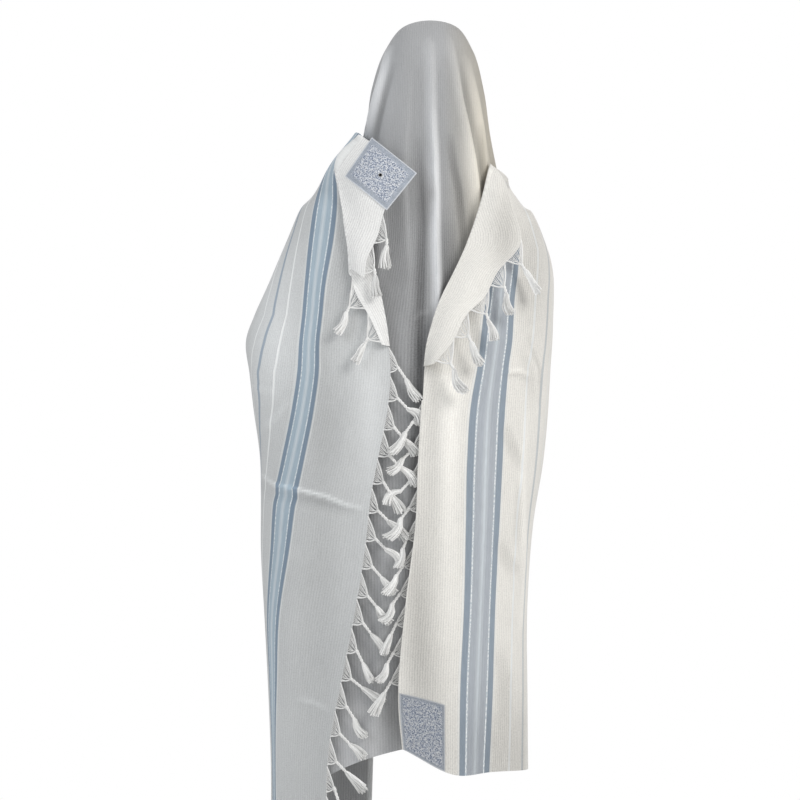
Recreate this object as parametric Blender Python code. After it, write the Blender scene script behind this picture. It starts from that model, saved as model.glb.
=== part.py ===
"""A striped prayer shawl with its middle over the head and both sides turned back onto the wearer's back.

Metres, +Z up. The wearer faces +Y, so the back of the shawl faces -Y, and +X is the wearer's right hand.
The origin is the crown of the head, where the shawl is held. Tables are in centimetres.

The cloth is one rectangle. A guide is a line along its stripes, and a row runs across them. Each stretch
of cloth is a grid of rows and guides, and its wall is that grid with a thickness.
"""

import math

import bmesh
import bpy
import numpy as np

CM = 0.01
WALL = 0.2  # cloth, with its ribs
SEAM = 0.03  # between neighbouring pieces
LAYER = 1.4  # from the cloth round the arm out to the flap turned back over it
LOOSE = 0.7  # how much farther apart those two are at the sides
FOLD_REACH = 0.85  # how far a front fold stands in front of the edges it joins
FOLD_GAP = 0.12  # between the edges that meet at a front fold, whose faces aren't quite square
STRIP = 0.45  # fringe backing, cut from the cloth's edge
PATCH_WALL = 0.12

# The cloth's outer outline, level by level: how far it reaches to each side, and its depth at the back,
# at its widest line and at the front.
# z, left, right, back, widest, front
OUTLINE = (
    (-14.0, -11.0, 9.6, -12.4, -4.0, 7.0),
    (-18.0, -11.7, 10.3, -12.8, -4.0, 8.0),
    (-24.0, -15.8, 11.2, -13.2, -3.6, 9.8),
    (-30.0, -20.9, 15.7, -13.8, -3.0, 12.0),
    (-38.0, -24.6, 19.6, -14.8, -2.0, 14.2),
    (-47.0, -28.4, 20.4, -15.6, -1.0, 16.0),
    (-54.0, -30.4, 20.2, -16.0, 0.0, 16.8),
    (-63.0, -29.2, 19.6, -15.9, 0.0, 17.0),
    (-74.0, -27.9, 18.6, -15.6, 0.0, 16.6),
    (-86.0, -27.9, 16.5, -15.3, 0.0, 16.2),
    (-100.0, -27.2, 16.1, -15.0, 0.0, 16.0),
    (-122.0, -26.2, 16.2, -14.6, 0.0, 15.6),
    (-148.0, -25.8, 16.2, -14.2, 0.0, 15.2),
)
SQUARENESS = 2.5  # exponent of the outline's superellipse
OUTLINE_EDGE = 0.995  # how near the outline's side a depth is still read

# One half of the cloth over the head and shoulders: x, y and z of each guide, row by row from the hem
# that frames the face. The left half is wider at the shoulder.
# spine, parting, temple, ear,
# neck, shoulder, arm, breast
HOOD = (
    (
        (0, 9.5, -2.5), (4.4, 9.8, -3.8), (7.0, 10, -7.4), (8.4, 10, -13),
        (8.6, 10.4, -21), (8.5, 11.6, -29), (8.2, 0, -36), (8.0, 0, -42),
    ),
    (
        (0, 0.0, 0.25), (4.5, 0, -0.9), (7.0, 0, -4.6), (8.8, -0.4, -11),
        (9.8, -1.5, -18.5), (11.2, 1.5, -26.5), (12.6, 6.5, -35), (11.5, 0, -43),
    ),
    (
        (0, -8.6, -4.0), (4.2, -8.0, -4.8), (7.2, -5.6, -8.2), (8.9, -4.0, -14.5),
        (10.0, -3.4, -21.5), (12.2, -0.8, -29.5), (14.6, 5.0, -38.5), (13, 0, -47),
    ),
    (
        (0, -10.6, -13.0), (4.4, -10.1, -13.5), (7.8, -7.8, -16.5), (9.3, -5.9, -21.5),
        (10.2, -4.0, -28.5), (15.6, -0.5, -36), (17.0, 6.0, -44.5), (13.5, 0, -52),
    ),
    (
        (0, -11.2, -24.5), (4.8, -10.9, -25), (8.6, -9.7, -27), (10.7, -7.6, -31.0),
        (14.0, -4.5, -37.0), (17.6, 0.5, -43), (17.2, 8.0, -51), (13.2, 0, -58),
    ),
    (
        (0, -12.9, -37.5), (5.3, -12.6, -37.8), (10.2, -11.3, -39), (14.3, -8.4, -42),
        (17.3, -3.5, -46.5), (18.2, 3.0, -52), (16.4, 9.8, -58.5), (12.6, 0, -64.5),
    ),
)
HOOD_REACH = (0, 10, 20, 30, 41.5, 54.5)  # along the spine from the face
HOOD_FOLD_Z = (-47, -52, -56, -60.5, -66, -72)  # where each row meets the front fold
LEFT_WIDER = (1.0, 1.0, 1.0, 1.04, 1.08, 1.28, 1.42, 1.12)

# Lower rows of the same cloth: distance from the face along the spine, and height at the spine and folds.
# reach, spine, fold_left, fold_right
LOWER = (
    (71, -54.0, -83.0, -82.0),
    (91, -74.0, -102.0, -94.0),
    (113, -96.0, -124.0, -106.5),
    (136, -119.0, -146.0, -118.5),
)
HEM_BEND = 1.2  # power by which a row's height leaves the spine's for the fold's
FRONT_X = 8.0  # half the gap between the two front folds
FRONT_DRIFT = 3.0  # how far that gap has moved to the left at the hem
DRIFT_FROM, DRIFT_SPAN = -50.0, 96.0  # where it begins to, and over what height
RING_STEPS = 80  # steps of the outline by which a lower row is measured

# Folds of the cloth on the head and back: top and bottom of each ridge, its height and its half width.
# top_x, top_z, low_x, low_z, height, width
DRAPE = (
    (0.0, -7.0, 0.6, -60.0, 1.1, 1.7),
    (3.8, -5.0, 7.2, -34.0, 0.9, 1.2),
    (5.6, -5.5, 9.8, -27.0, 0.7, 0.9),
    (-6.4, -6.5, -9.9, -22.0, 0.8, 1.0),
    (-3.4, -9.0, -4.4, -60.0, 0.5, 1.5),
    (-5.4, -8.0, -7.6, -30.0, -0.6, 0.9),
)
DRAPE_FADE = 0.1  # share of a fold's length over which it dies away past each end
DRAPE_TAPER = (0.7, 1.3)  # its width at the top and at the bottom, of the width given

# The left flap, row by row: its inner edge (a pleat's fold above, the fringed edge below), both edges of
# the stripe band, and its side. Where the outline doesn't give a depth, it is written.
# run, edge_x, edge_z, in_x, in_z, out_x, out_z, out_y, side_x, side_z, side_y
LEFT_FLAP = (
    (0.0, -11.2, -18.9, -11.9, -18.3, -13.4, -20.4, 2.0, -14.4, -29.0, 9.5),
    (8.0, -14.5, -24.6, -15.3, -24.1, -17.4, -25.2, -1.5, -19.0, -31.0, 6.0),
    (12.5, -11.9, -32.5, -15.3, -30.2, -19.0, -30.2, None, -21.1, -30.8, -2.0),
    (16.6, -10.4, -37.5, -15.8, -35.3, -19.8, -35.3, None, -23.4, -35.8, -1.5),
    (22.5, -8.4, -44.4, -17.2, -43.4, -20.6, -43.4, None, -26.7, -43.4, -1.2),
    (27.6, -7.4, -49.2, -17.7, -48.3, -21.0, -48.3, None, -29.0, -48.5, -0.8),
    (32.9, -6.8, -53.5, -18.2, -53.0, -21.5, -53.0, None, -30.4, -53.0, 0.0),
    (37.6, -6.5, -57.8, -18.3, -57.8, -21.8, -57.8, None, -29.8, -57.9, 0.0),
    (43.0, -6.9, -63.2, -19.0, -63.2, -22.6, -63.2, None, -29.2, -63.2, 0.0),
    (52.8, -8.7, -72.6, -20.8, -72.6, -24.5, -72.6, None, -28.0, -72.6, 0.0),
    (58.0, -9.7, -77.9, -21.9, -77.9, -25.6, -77.9, None, -27.9, -77.9, 0.0),
    (67.0, -10.7, -86.8, -23.1, -86.8, -26.2, -86.8, None, -27.9, -86.8, 0.0),
    (78.3, -12.5, -98.0, -24.7, -98.0, -26.8, -98.0, None, -27.3, -98.0, 0.0),
    (89.6, -14.7, -109.1, -25.1, -109.1, -26.4, -109.1, None, -26.7, -109.1, 0.0),
    (99.0, -16.5, -118.5, -25.4, -118.5, -26.1, -118.5, None, -26.3, -118.5, 0.0),
    (118.0, -16.9, -134.0, -25.3, -134.0, -25.9, -134.0, None, -26.0, -134.0, 0.0),
    (135.0, -16.2, -146.0, -25.2, -146.0, -25.7, -146.0, None, -25.8, -146.0, 0.0),
)
# The two legs above the left flap's edge: where each begins and ends, row by row.
# run, free_x, free_z, fold_x, fold_z
LEFT_PLEAT = (
    (10.25, -14.9, -28.0, -13.4, -28.4),
    (12.5, -14.2, -32.3, -11.9, -32.5),
    (16.6, -13.5, -37.5, -10.4, -37.5),
    (22.5, -12.4, -44.3, -8.4, -44.4),
    (27.6, -9.9, -48.8, -7.4, -49.2),
    (32.9, -7.9, -53.3, -6.8, -53.5),
)
LEFT_CORNER = (
    (0.0, -2.1, -26.2, -11.4, -20.0),
    (8.0, -7.1, -31.4, -15.3, -25.6),
    (12.5, -8.4, -35.6, -14.2, -32.0),
    (16.6, -10.2, -39.3, -13.5, -37.3),
    (20.4, -10.7, -42.4, -13.0, -40.9),
)

# The right flap, with the same columns as the left one.
RIGHT_FLAP = (
    (0.0, 10.4, -23.9, 12.0, -25.0, 12.6, -29.0, 7.0, 12.4, -35.0, 10.8),
    (4.0, 9.4, -27.4, 11.4, -27.6, 13.6, -28.2, -0.5, 15.4, -34.0, 7.5),
    (8.0, 8.4, -30.5, 10.9, -30.5, 15.0, -30.6, None, 16.1, -31.2, -2.0),
    (16.0, 5.8, -37.5, 10.1, -37.5, 14.7, -37.5, None, 19.4, -37.5, -1.8),
    (21.0, 4.0, -41.4, 9.6, -41.4, 14.4, -41.4, None, 20.3, -41.4, -1.4),
    (26.0, 2.0, -45.4, 9.2, -45.4, 13.9, -45.4, None, 20.4, -45.4, -1.0),
    (31.5, 0.7, -48.9, 8.7, -48.9, 13.7, -48.9, None, 20.3, -48.9, -0.8),
    (35.5, -0.3, -52.5, 8.3, -52.5, 13.5, -52.5, None, 20.2, -52.5, 0.0),
    (41.0, -0.9, -56.8, 7.8, -56.8, 12.9, -56.8, None, 19.9, -56.8, 0.0),
    (46.0, -1.2, -62.4, 6.8, -62.4, 12.4, -62.4, None, 19.6, -62.4, 0.0),
    (56.0, -1.8, -72.3, 6.1, -72.3, 11.9, -72.3, None, 18.7, -72.3, 0.0),
    (66.0, -2.2, -82.2, 5.9, -82.2, 11.4, -82.2, None, 17.1, -82.2, 0.0),
    (79.5, -3.8, -95.4, 5.6, -95.4, 10.7, -95.4, None, 16.1, -95.4, 0.0),
    (96.0, -4.5, -111.9, 4.9, -111.9, 10.2, -111.9, None, 16.1, -111.9, 0.0),
    (105.0, -3.2, -120.4, 4.8, -123.2, 9.7, -123.1, None, 16.2, -122.8, 0.0),
)
# The leg that lies on the right flap, with the pleat's columns.
RIGHT_LAPEL = (
    (0.0, 12.4, -27.3, 10.4, -24.5),
    (4.0, 12.9, -28.7, 9.4, -27.5),
    (8.0, 13.5, -30.5, 8.4, -30.5),
    (16.0, 14.7, -37.1, 5.8, -37.5),
    (21.0, 11.1, -41.3, 4.0, -41.4),
    (26.0, 9.1, -45.2, 2.0, -45.4),
    (31.5, 5.6, -48.9, 0.7, -48.9),
    (35.5, 4.0, -52.3, -0.3, -52.5),
    (41.0, 0.6, -56.4, -0.9, -56.8),
)
# The turned-in edge below the lapel curls round behind the fold: how far it reaches across, and how deep.
# run, across, deep
TUCK = (
    (46.0, 0.4, 0.6),
    (56.0, 1.2, 1.4),
    (66.0, 1.3, 1.5),
    (79.5, 1.2, 1.4),
    (96.0, 1.1, 1.3),
    (105.0, 1.0, 1.2),
)
RIDGE_LIFT = 0.85  # how much farther apart the layers are where they cross the shoulder's ridge
RIDGE_RUN = 12.0  # run at which that has died away
TUCK_STAND = 1.2  # how far the right flap's turned-in edge stands off the back
TUCK_FROM, TUCK_SPAN = 42.0, 8.0  # run at which it begins to, and over what run
ROUND_ARM = 0.14  # the guide beside the flank: how far it is back from it towards the band
# The guides ahead of the flank: shares of the way across and down to the front fold.
AHEAD = ((0.12, 0.3), (0.45, 0.68))
TILT_FROM, TILT_SPAN, TILT = -30.0, 10.0, 0.9  # above this height a lift turns upwards, in radians

# Where each flap meets its front fold: run from the top edge, and height.
FOLD_LINES = {
    -1: ((0, -47.0), (37, -73.0), (67, -98.0), (135, -146.0)),
    1: ((0, -47.0), (41, -74.0), (70, -96.0), (105, -118.5)),
}

# Fringe: the warp ends are drawn together in webs, knotted, and left as loose tails.
TASSEL_STEP = 4.6
WEB_ROOT = 3.4  # how much of the edge one web takes
WEB_LENGTH = 1.9
WEB_SLOPE = (0.62, 0.7)  # how much of it runs away from the edge and how much down
KNOT_SIZE = (0.7, 0.5, 0.7)  # along the edge, through, and down
TAIL_LENGTH = 4.9
TAIL_SPREAD = 0.55  # between the tips of the strands of one tail
STRAND_TIP = 0.42
STRANDS = 3
SIDE_SHORTER = 0.06  # how much shorter a tail's outer strands are
STRIP_GAP = 0.07
STRIP_NEAR = 0.15  # bends of the cloth's edge this near a web's border are left out of the strip
TAIL_CLEAR = 1.25  # between a flap and the middle of a tail that lies on it
SQUARE = ((-1, 1), (1, 1), (1, -1), (-1, -1))  # corners of a section, along and through
# The way the tails lean, stretch by stretch.
# share of the way down the strip, across, deep, down
LEANS = {
    "fringe_left_corner": ((0.0, 0.30, 0.0, -0.95), (0.5, 0.15, 0.0, -1.0), (1.0, -0.2, 0.0, -1.0)),
    "fringe_left_pleat": ((0.0, -0.6, 0.0, -0.8), (0.5, -0.2, 0.0, -1.0), (1.0, -0.1, 0.0, -1.0)),
    "fringe_left": ((0.0, 0.3, -0.2, -0.92), (0.5, 0.45, -0.2, -0.87), (1.0, 0.3, -0.1, -0.95)),
    "fringe_right_lapel": ((0.0, 0.25, 0.0, -1.0), (0.5, 0.42, 0.0, -0.9), (1.0, 0.35, 0.0, -0.95)),
    "fringe_right_tuck": ((0.0, -0.45, 0.0, -0.85), (0.5, -0.6, 0.0, -0.76), (1.0, -0.4, 0.0, -0.92)),
}

CLOTH_COLOUR = (0.82, 0.83, 0.84)
PATCH_COLOUR = (0.52, 0.60, 0.68)
FRINGE_COLOUR = (0.86, 0.87, 0.87)


def smooth(stops, values, at):
    """Values read at some places from a smooth curve through the given stops."""
    stops = np.asarray(stops, float)
    values = np.asarray(values, float)
    at = np.asarray(at, float)
    gaps = np.diff(stops)
    slopes = np.diff(values, axis=0) / gaps[:, None]
    share = (gaps[1:] / (gaps[:-1] + gaps[1:]))[:, None]
    middle = slopes[:-1] * share + slopes[1:] * (1 - share)
    tangents = np.vstack([slopes[:1], middle, slopes[-1:]])
    cell = np.clip(np.searchsorted(stops, at, side="right") - 1, 0, len(gaps) - 1)
    width = gaps[cell][:, None]
    part = (at - stops[cell])[:, None] / width
    start = (2 * part**3 - 3 * part**2 + 1) * values[cell]
    leave = (part**3 - 2 * part**2 + part) * width * tangents[cell]
    end = (3 * part**2 - 2 * part**3) * values[cell + 1]
    arrive = (part**3 - part**2) * width * tangents[cell + 1]
    return start + leave + end + arrive


def outline_at(z):
    """Left, right, back, widest and front of the cloth's outline at a height."""
    levels = np.array(OUTLINE)
    return smooth(-levels[:, 0], levels[:, 1:], [-z])[0]


def outline_depth(x, z, front=False, inset=0.0):
    """Depth of the outline over x, at the back or the front, moved in by the inset."""
    left, right, back, widest, ahead = outline_at(z)
    middle = (left + right) / 2
    half = (right - left) / 2 - inset
    share = min(abs(x - middle) / half, OUTLINE_EDGE)
    rise = (1 - share**SQUARENESS) ** (1 / SQUARENESS)
    return widest + ((ahead - inset) - widest if front else (back + inset) - widest) * rise


def fold_point(side, z, inset=0.0):
    """Where the cloth folds in front of an arm."""
    drift = FRONT_DRIFT * max((DRIFT_FROM - z) / DRIFT_SPAN, 0)
    x = side * FRONT_X - drift
    return np.array([x, outline_depth(x, z, True) - inset, z])


def lower_row(side, spine, fold):
    """A row round one half of the body: its guides at even steps from the spine to the front fold."""
    left, right, back, widest, ahead = outline_at(spine)
    middle = (left + right) / 2
    half = (right - left) / 2 - LAYER - LOOSE
    power = 2 / SQUARENESS
    first = math.asin(math.copysign(abs(middle / half) ** (1 / power), -middle * side))
    far = (fold_point(side, fold)[0] - middle) * side / half
    last = math.pi - math.asin(math.copysign(abs(far) ** (1 / power), far))
    turns = np.linspace(first, last, RING_STEPS)
    levels = spine + (fold - spine) * np.linspace(0, 1, RING_STEPS) ** HEM_BEND
    ring = []
    for turn, z in zip(turns, levels):
        left, right, back, widest, ahead = outline_at(z)
        middle = (left + right) / 2
        half = (right - left) / 2 - LAYER - LOOSE
        across = math.copysign(abs(math.sin(turn)) ** power, math.sin(turn))
        deep = abs(math.cos(turn)) ** power
        reach = back + LAYER - widest if math.cos(turn) > 0 else ahead - LAYER - widest
        y = widest + reach * deep
        ring.append((middle + side * half * across, y, z))
    ring = np.array(ring)
    ring[0, 0] = 0.0
    along = np.concatenate([[0], np.cumsum(np.linalg.norm(np.diff(ring, axis=0), axis=1))])
    places = np.linspace(0, along[-1], len(HOOD[0]) + 1)
    row = np.column_stack([np.interp(places, along, ring[:, i]) for i in range(3)])
    row[-1] = fold_point(side, fold, LAYER)
    return row


def hood_row(side, row, fold_z):
    """A row over the head and one shoulder, out to the front fold."""
    points = np.array(row, float)
    if side < 0:
        points[:, 0] *= np.array(LEFT_WIDER)
    points[:, 0] *= side
    front = points[-1]
    front[1] = outline_depth(front[0], front[2], True) - LAYER
    return np.vstack([points, fold_point(side, fold_z, LAYER)])


def half_rows(side):
    """All rows of the cloth on one side of the spine, and the reach of each from the face."""
    rows = [hood_row(side, row, z) for row, z in zip(HOOD, HOOD_FOLD_Z)]
    reach = list(HOOD_REACH)
    for run, spine, left, right in LOWER:
        rows.append(lower_row(side, spine, left if side < 0 else right))
        reach.append(run)
    return np.array(reach), np.array(rows)


def drape_height(x, z):
    """How far the folds of the middle of the cloth stand out over a place on the back."""
    total = 0.0
    for top_x, top_z, low_x, low_z, height, width in DRAPE:
        part = (z - top_z) / (low_z - top_z)
        past = max(-part, part - 1, 0)
        if past >= DRAPE_FADE:
            continue
        centre = top_x + (low_x - top_x) * part
        ends = 1 - past / DRAPE_FADE
        spread = width * (DRAPE_TAPER[0] + (DRAPE_TAPER[1] - DRAPE_TAPER[0]) * part)
        total += height * ends * math.exp(-(((x - centre) / spread) ** 2))
    return total


def normals(points):
    """Unit normals of a grid, along rows x down."""
    across = np.gradient(points, axis=1)
    down = np.gradient(points, axis=0)
    found = np.cross(across, down)
    return found / np.maximum(np.linalg.norm(found, axis=2, keepdims=True), 1e-9)


def grid_between(rows, stops, row_places, guide_places):
    """A grid read from rows of guides: first down each guide, then along each row."""
    down = smooth(stops, rows.reshape(len(rows), -1), row_places)
    down = down.reshape(len(row_places), rows.shape[1], 3)
    order = np.arange(rows.shape[1])
    grid = []
    for row in down:
        along = np.concatenate([[0], np.cumsum(np.linalg.norm(np.diff(row, axis=0), axis=1))])
        grid.append(smooth(along, row, np.interp(guide_places, order, along)))
    return np.array(grid)


def lifted(x, z, lift):
    """A point on the outline, moved off the cloth by the lift: backwards, and upwards over the shoulder."""
    tilt = min(max((z - TILT_FROM) / TILT_SPAN, 0), 1) * TILT
    return np.array([x, outline_depth(x, z) - lift * math.cos(tilt), z + lift * math.sin(tilt)])


def tuck_stand(run):
    """How far the right flap's inner edge stands off the back at a run."""
    return TUCK_STAND * min(max((run - TUCK_FROM) / TUCK_SPAN, 0), 1)


def ridge_share(run):
    """One at the top edge, where the layers cross the shoulder's ridge, and nothing farther down."""
    return max(0.0, 1 - run / RIDGE_RUN)


def flap_rows(side, table):
    """Rows of a flap: inner edge, stripe band, round the arm, and the turn of the front fold."""
    rows = []
    fold_stops, fold_heights = zip(*FOLD_LINES[side])
    for run, edge_x, edge_z, in_x, in_z, out_x, out_z, out_y, side_x, side_z, side_y in table:
        fold_z = smooth(fold_stops, np.array(fold_heights)[:, None], [run])[0, 0]
        stand = tuck_stand(run) if side > 0 else -RIDGE_LIFT * ridge_share(run)
        edge = lifted(edge_x, edge_z, stand)
        near = lifted(in_x, in_z, stand * 0.5)
        far = lifted(out_x, out_z, 0.0)
        flank = np.array([side_x, side_y, side_z])
        if out_y is None:
            round_x = side_x + (out_x - side_x) * ROUND_ARM
            level = (out_z + side_z) / 2
            between = np.array([round_x, outline_depth(round_x, level), level])
        else:
            far[1] = out_y
            between = (far + flank) / 2
        fold = fold_point(side, fold_z)
        ahead = []
        for across, down in AHEAD:
            x = side_x + (fold[0] - side_x) * across
            z = side_z + (fold_z - side_z) * down
            ahead.append((x, outline_depth(x, z, True), z))
        end = fold - np.array([side * FOLD_GAP, LAYER + WALL, 0])
        tip = (fold + end) / 2 - np.array([side * FOLD_REACH, 0, 0])
        turned = end - np.array([side * FOLD_REACH * 0.4, 0, 0])
        rows.append([edge, near, far, between, flank, *ahead, fold, tip, turned, end])
    return np.array(rows)


def leg_rows(table, fold_lift, free_lift):
    """Rows of a leg of a pleat, from its free or fringed side to the fold that it shares."""
    rows = []
    for run, free_x, free_z, fold_x, fold_z in table:
        more = RIDGE_LIFT * ridge_share(run)
        free = lifted(free_x, free_z, free_lift + more)
        bulge = fold_lift + (free_lift - fold_lift) * 0.7 + more
        middle = lifted((free_x + fold_x) / 2, (free_z + fold_z) / 2, bulge)
        rows.append([free, middle, lifted(fold_x, fold_z, fold_lift + more)])
    return np.array(rows)


def tuck_rows(table, panel):
    """Rows of the turned-in edge, from the fold that it shares with the flap to its fringed edge."""
    runs = [row[0] for row in panel]
    rows = []
    for run, across, deep in table:
        x, z = smooth(runs, [row[1:3] for row in panel], [run])[0]
        stand = tuck_stand(run)
        fold = lifted(x, z, stand) + np.array([0, WALL + SEAM, 0])
        rows.append([fold, fold + (across, deep * 0.45, 0), fold + (0, deep, 0)])
    return np.array(rows)


def material(name, colour, roughness):
    made = bpy.data.materials.new(name)
    made.use_nodes = True
    shader = made.node_tree.nodes["Principled BSDF"]
    shader.inputs["Base Color"].default_value = (*colour, 1)
    shader.inputs["Roughness"].default_value = roughness
    return made


def placed(name, mesh, finish):
    mesh.normal_update()
    bmesh.ops.recalc_face_normals(mesh, faces=mesh.faces)
    data = bpy.data.meshes.new(name)
    mesh.to_mesh(data)
    mesh.free()
    data.materials.append(finish)
    made = bpy.data.objects.new(name, data)
    bpy.context.scene.collection.objects.link(made)
    return made


def wall(name, points, outward, finish, thickness=WALL):
    """A closed wall: the visible face is the grid, and its other face lies a thickness inside it."""
    mesh = bmesh.new()
    rows, columns = points.shape[:2]
    faces = []
    for grid in (points, points - outward * thickness):
        faces.append([[mesh.verts.new(grid[i, j] * CM) for j in range(columns)] for i in range(rows)])
    for layer in faces:
        for i in range(rows - 1):
            for j in range(columns - 1):
                mesh.faces.new((layer[i][j], layer[i][j + 1], layer[i + 1][j + 1], layer[i + 1][j]))
    top, low = faces
    rim = [(0, j) for j in range(columns)]
    rim += [(i, columns - 1) for i in range(1, rows)]
    rim += [(rows - 1, j) for j in range(columns - 2, -1, -1)]
    rim += [(i, 0) for i in range(rows - 2, 0, -1)]
    for (i, j), (k, m) in zip(rim, rim[1:] + rim[:1]):
        mesh.faces.new((top[i][j], top[k][m], low[k][m], low[i][j]))
    return placed(name, mesh, finish)


def patch(name, points, outward, side, finish):
    """A corner patch on either face of a piece of the cloth, made from that piece's own points."""
    if side > 0:
        face = points + outward * (SEAM + PATCH_WALL)
    else:
        face = points - outward * (WALL + SEAM)
    return wall(name, face, outward, finish, PATCH_WALL)


def spaced(points, places, values):
    """Values along an edge, read at distances from its top."""
    along = np.concatenate([[0], np.cumsum(np.linalg.norm(np.diff(points, axis=0), axis=1))])
    return np.column_stack([np.interp(places, along, values[:, i]) for i in range(3)])


def unit(vector):
    return vector / np.linalg.norm(vector, axis=-1, keepdims=True)


def tassel(mesh, tops, lows, centre, along, away, through, lean, on_flap):
    """A web from the strip's outer edge to a knot, and the strands below it."""
    broad, thick, deep = KNOT_SIZE
    slope = away * WEB_SLOPE[0] + np.array([0, 0, -WEB_SLOPE[1]])
    knot = centre + slope * WEB_LENGTH
    slope = unit(slope)
    side = unit(np.cross(through, slope))
    side = side if side @ along > 0 else -side
    ring = [knot + side * broad / 2 * a + through * thick / 2 * t for a, t in SQUARE]
    first = [mesh.verts.new(point * CM) for point in ring]
    mesh.faces.new((*tops, first[1], first[0]))
    mesh.faces.new((*reversed(lows), first[3], first[2]))
    mesh.faces.new((tops[-1], lows[-1], first[2], first[1]))
    mesh.faces.new((lows[0], tops[0], first[0], first[3]))
    steps = np.linspace(-1, 1, STRANDS + 1)
    low = knot + unit(slope + lean) * deep
    if on_flap:
        tip = low + lean * TAIL_LENGTH
        room = outline_depth(tip[0], tip[2]) - TAIL_CLEAR - tip[1]
        lean = unit(lean + np.array([0, min(room, 0) / TAIL_LENGTH, 0]))
    spread = unit(np.cross(through, lean))
    spread = spread if spread @ side > 0 else -spread
    front = [mesh.verts.new((low + side * broad / 2 * a + through * thick / 2) * CM) for a in steps]
    back = [mesh.verts.new((low + side * broad / 2 * a - through * thick / 2) * CM) for a in steps]
    mesh.faces.new((first[0], first[1], *reversed(front)))
    mesh.faces.new((first[2], first[3], *back))
    mesh.faces.new((first[1], first[2], back[-1], front[-1]))
    mesh.faces.new((first[3], first[0], front[0], back[0]))
    for strand in range(STRANDS):
        shift = strand - (STRANDS - 1) / 2
        long = TAIL_LENGTH * (1 - SIDE_SHORTER * abs(shift))
        tip = low + lean * long + spread * shift * (TAIL_SPREAD + STRAND_TIP)
        ends = []
        for a, t in SQUARE:
            ends.append(mesh.verts.new((tip + (spread * a + through * t) * STRAND_TIP / 2) * CM))
        base = (front[strand], front[strand + 1], back[strand + 1], back[strand])
        for here, there in ((0, 1), (1, 2), (2, 3), (3, 0)):
            mesh.faces.new((base[here], base[there], ends[there], ends[here]))
        mesh.faces.new(ends)


def fringe(name, edge, inner, outward, finish, on_flap):
    """A strip parted from the cloth's edge, with its tassels. The inner points are the cloth's next column.

    On a flap the tails keep clear of its outer face. Elsewhere they hang straight down.
    """
    away = unit(edge - inner)
    heading = unit(np.gradient(edge, axis=0))
    away = unit(away - heading * (away * heading).sum(axis=1, keepdims=True))
    length = np.linalg.norm(np.diff(edge, axis=0), axis=1).sum()
    count = max(1, int(length // TASSEL_STEP))
    pitch = length / count
    centres = (np.arange(count) + 0.5) * pitch
    borders = np.concatenate([[0.0], *[(at - WEB_ROOT / 2, at + WEB_ROOT / 2) for at in centres], [length]])
    bends = np.concatenate([[0], np.cumsum(np.linalg.norm(np.diff(edge, axis=0), axis=1))])
    bends = [at for at in bends if abs(borders - at).min() > STRIP_NEAR]
    places = np.sort(np.concatenate([borders, bends]))
    line = spaced(edge, places, edge)
    off = unit(spaced(edge, places, away))
    face = unit(spaced(edge, places, outward))
    mesh = bmesh.new()
    rings = []
    for point, aside, up in zip(line, off, face):
        near = point + aside * STRIP_GAP
        far = near + aside * STRIP
        corners = (near, far, far - up * WALL, near - up * WALL)
        rings.append([mesh.verts.new(corner * CM) for corner in corners])
    mesh.faces.new(rings[0])
    mesh.faces.new(rings[-1])
    leans = np.array(LEANS[name])
    for index, (here, there) in enumerate(zip(rings, rings[1:])):
        for a, b in ((0, 1), (2, 3), (3, 0)):
            mesh.faces.new((here[a], here[b], there[b], there[a]))
        if abs((places[index] + places[index + 1]) / 2 - centres).min() > WEB_ROOT / 2:
            mesh.faces.new((here[1], there[1], there[2], here[2]))
    for at in centres:
        first, last = np.searchsorted(places, at - STRIP_NEAR / 2 + np.array([-0.5, 0.5]) * WEB_ROOT)
        lean = np.array([np.interp(at / length, leans[:, 0], leans[:, i]) for i in (1, 2, 3)])
        middle = (first + last) // 2
        centre = (line[first] + line[last]) / 2 + off[middle] * (STRIP_GAP + STRIP)
        along = unit(line[last] - line[first])
        aside = off[middle] if on_flap else unit(off[middle] * (1, 0, 1))
        tops = [ring[1] for ring in rings[first : last + 1]]
        lows = [ring[2] for ring in rings[first : last + 1]]
        tassel(mesh, tops, lows, centre, along, aside, face[middle], unit(lean), on_flap)
    return placed(name, mesh, finish)


# Where the grids have their columns and rows: guides of a flap and of a leg, and runs of the middle.
SIDE_SEAM = 4.0  # guide along which the middle is parted from the two sides
SEAM_STEP = 0.011  # half the gap there, in guides
# The middle is parted at the nape, and each flap at its side from the stretch in front of the arm.
HOOD_RUNS = (0, 2.5, 5, 7.5, 10, 12.5, 15, 17.5, 20, 23, 26, 30, 34, 38, 41.46)
BACK_RUNS = (41.54, 46, 50, 54.5, 60, 65.5, 71, 77, 84, 91, 98, 105.5, 113, 120, 128, 136)
LEG_PLACES = (0, 0.5, 1, 1.5, 2)
LAPEL_PLACES = (0, 0.4, 0.8, 1.2, 1.6, 2)
CORNER_PLACES = (0.08, 0.55, 1.05, 1.6, 1.8, 2)
CORNER_RUNS = (0.5, 3.5, 6.5, 9.5, 12.5, 14.5, 16.6, 18.5, 20.4)
STAND_PLEAT, STAND_CORNER, STAND_LAPEL = 1.0, 2.3, 2.1  # how far the free side of each leg stands out
CORNER_FREE, LAPEL_FREE = 9.5, 12.0  # run at which each one's fringe begins, below its patch
TUCK_FREE = 94.0  # and at which it ends, above its patch
PATCH_COLUMNS = 4  # columns of its piece that a patch covers
PATCH_RUNS = {"left_low": 125, "left_high": 10, "right_low": 95, "right_high": 9}  # where each ends
FLAP_PLACES = (0, 0.25, 0.5, 0.76, 1, 1.5, 2, 2.5, 3, 3.5, 3.97)
FRONT_PLACES = (4.01, 4.5, 5, 5.5, 6, 6.5, 6.9, 7.1, 7.5, 8, 8.5, 9, 10)


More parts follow.
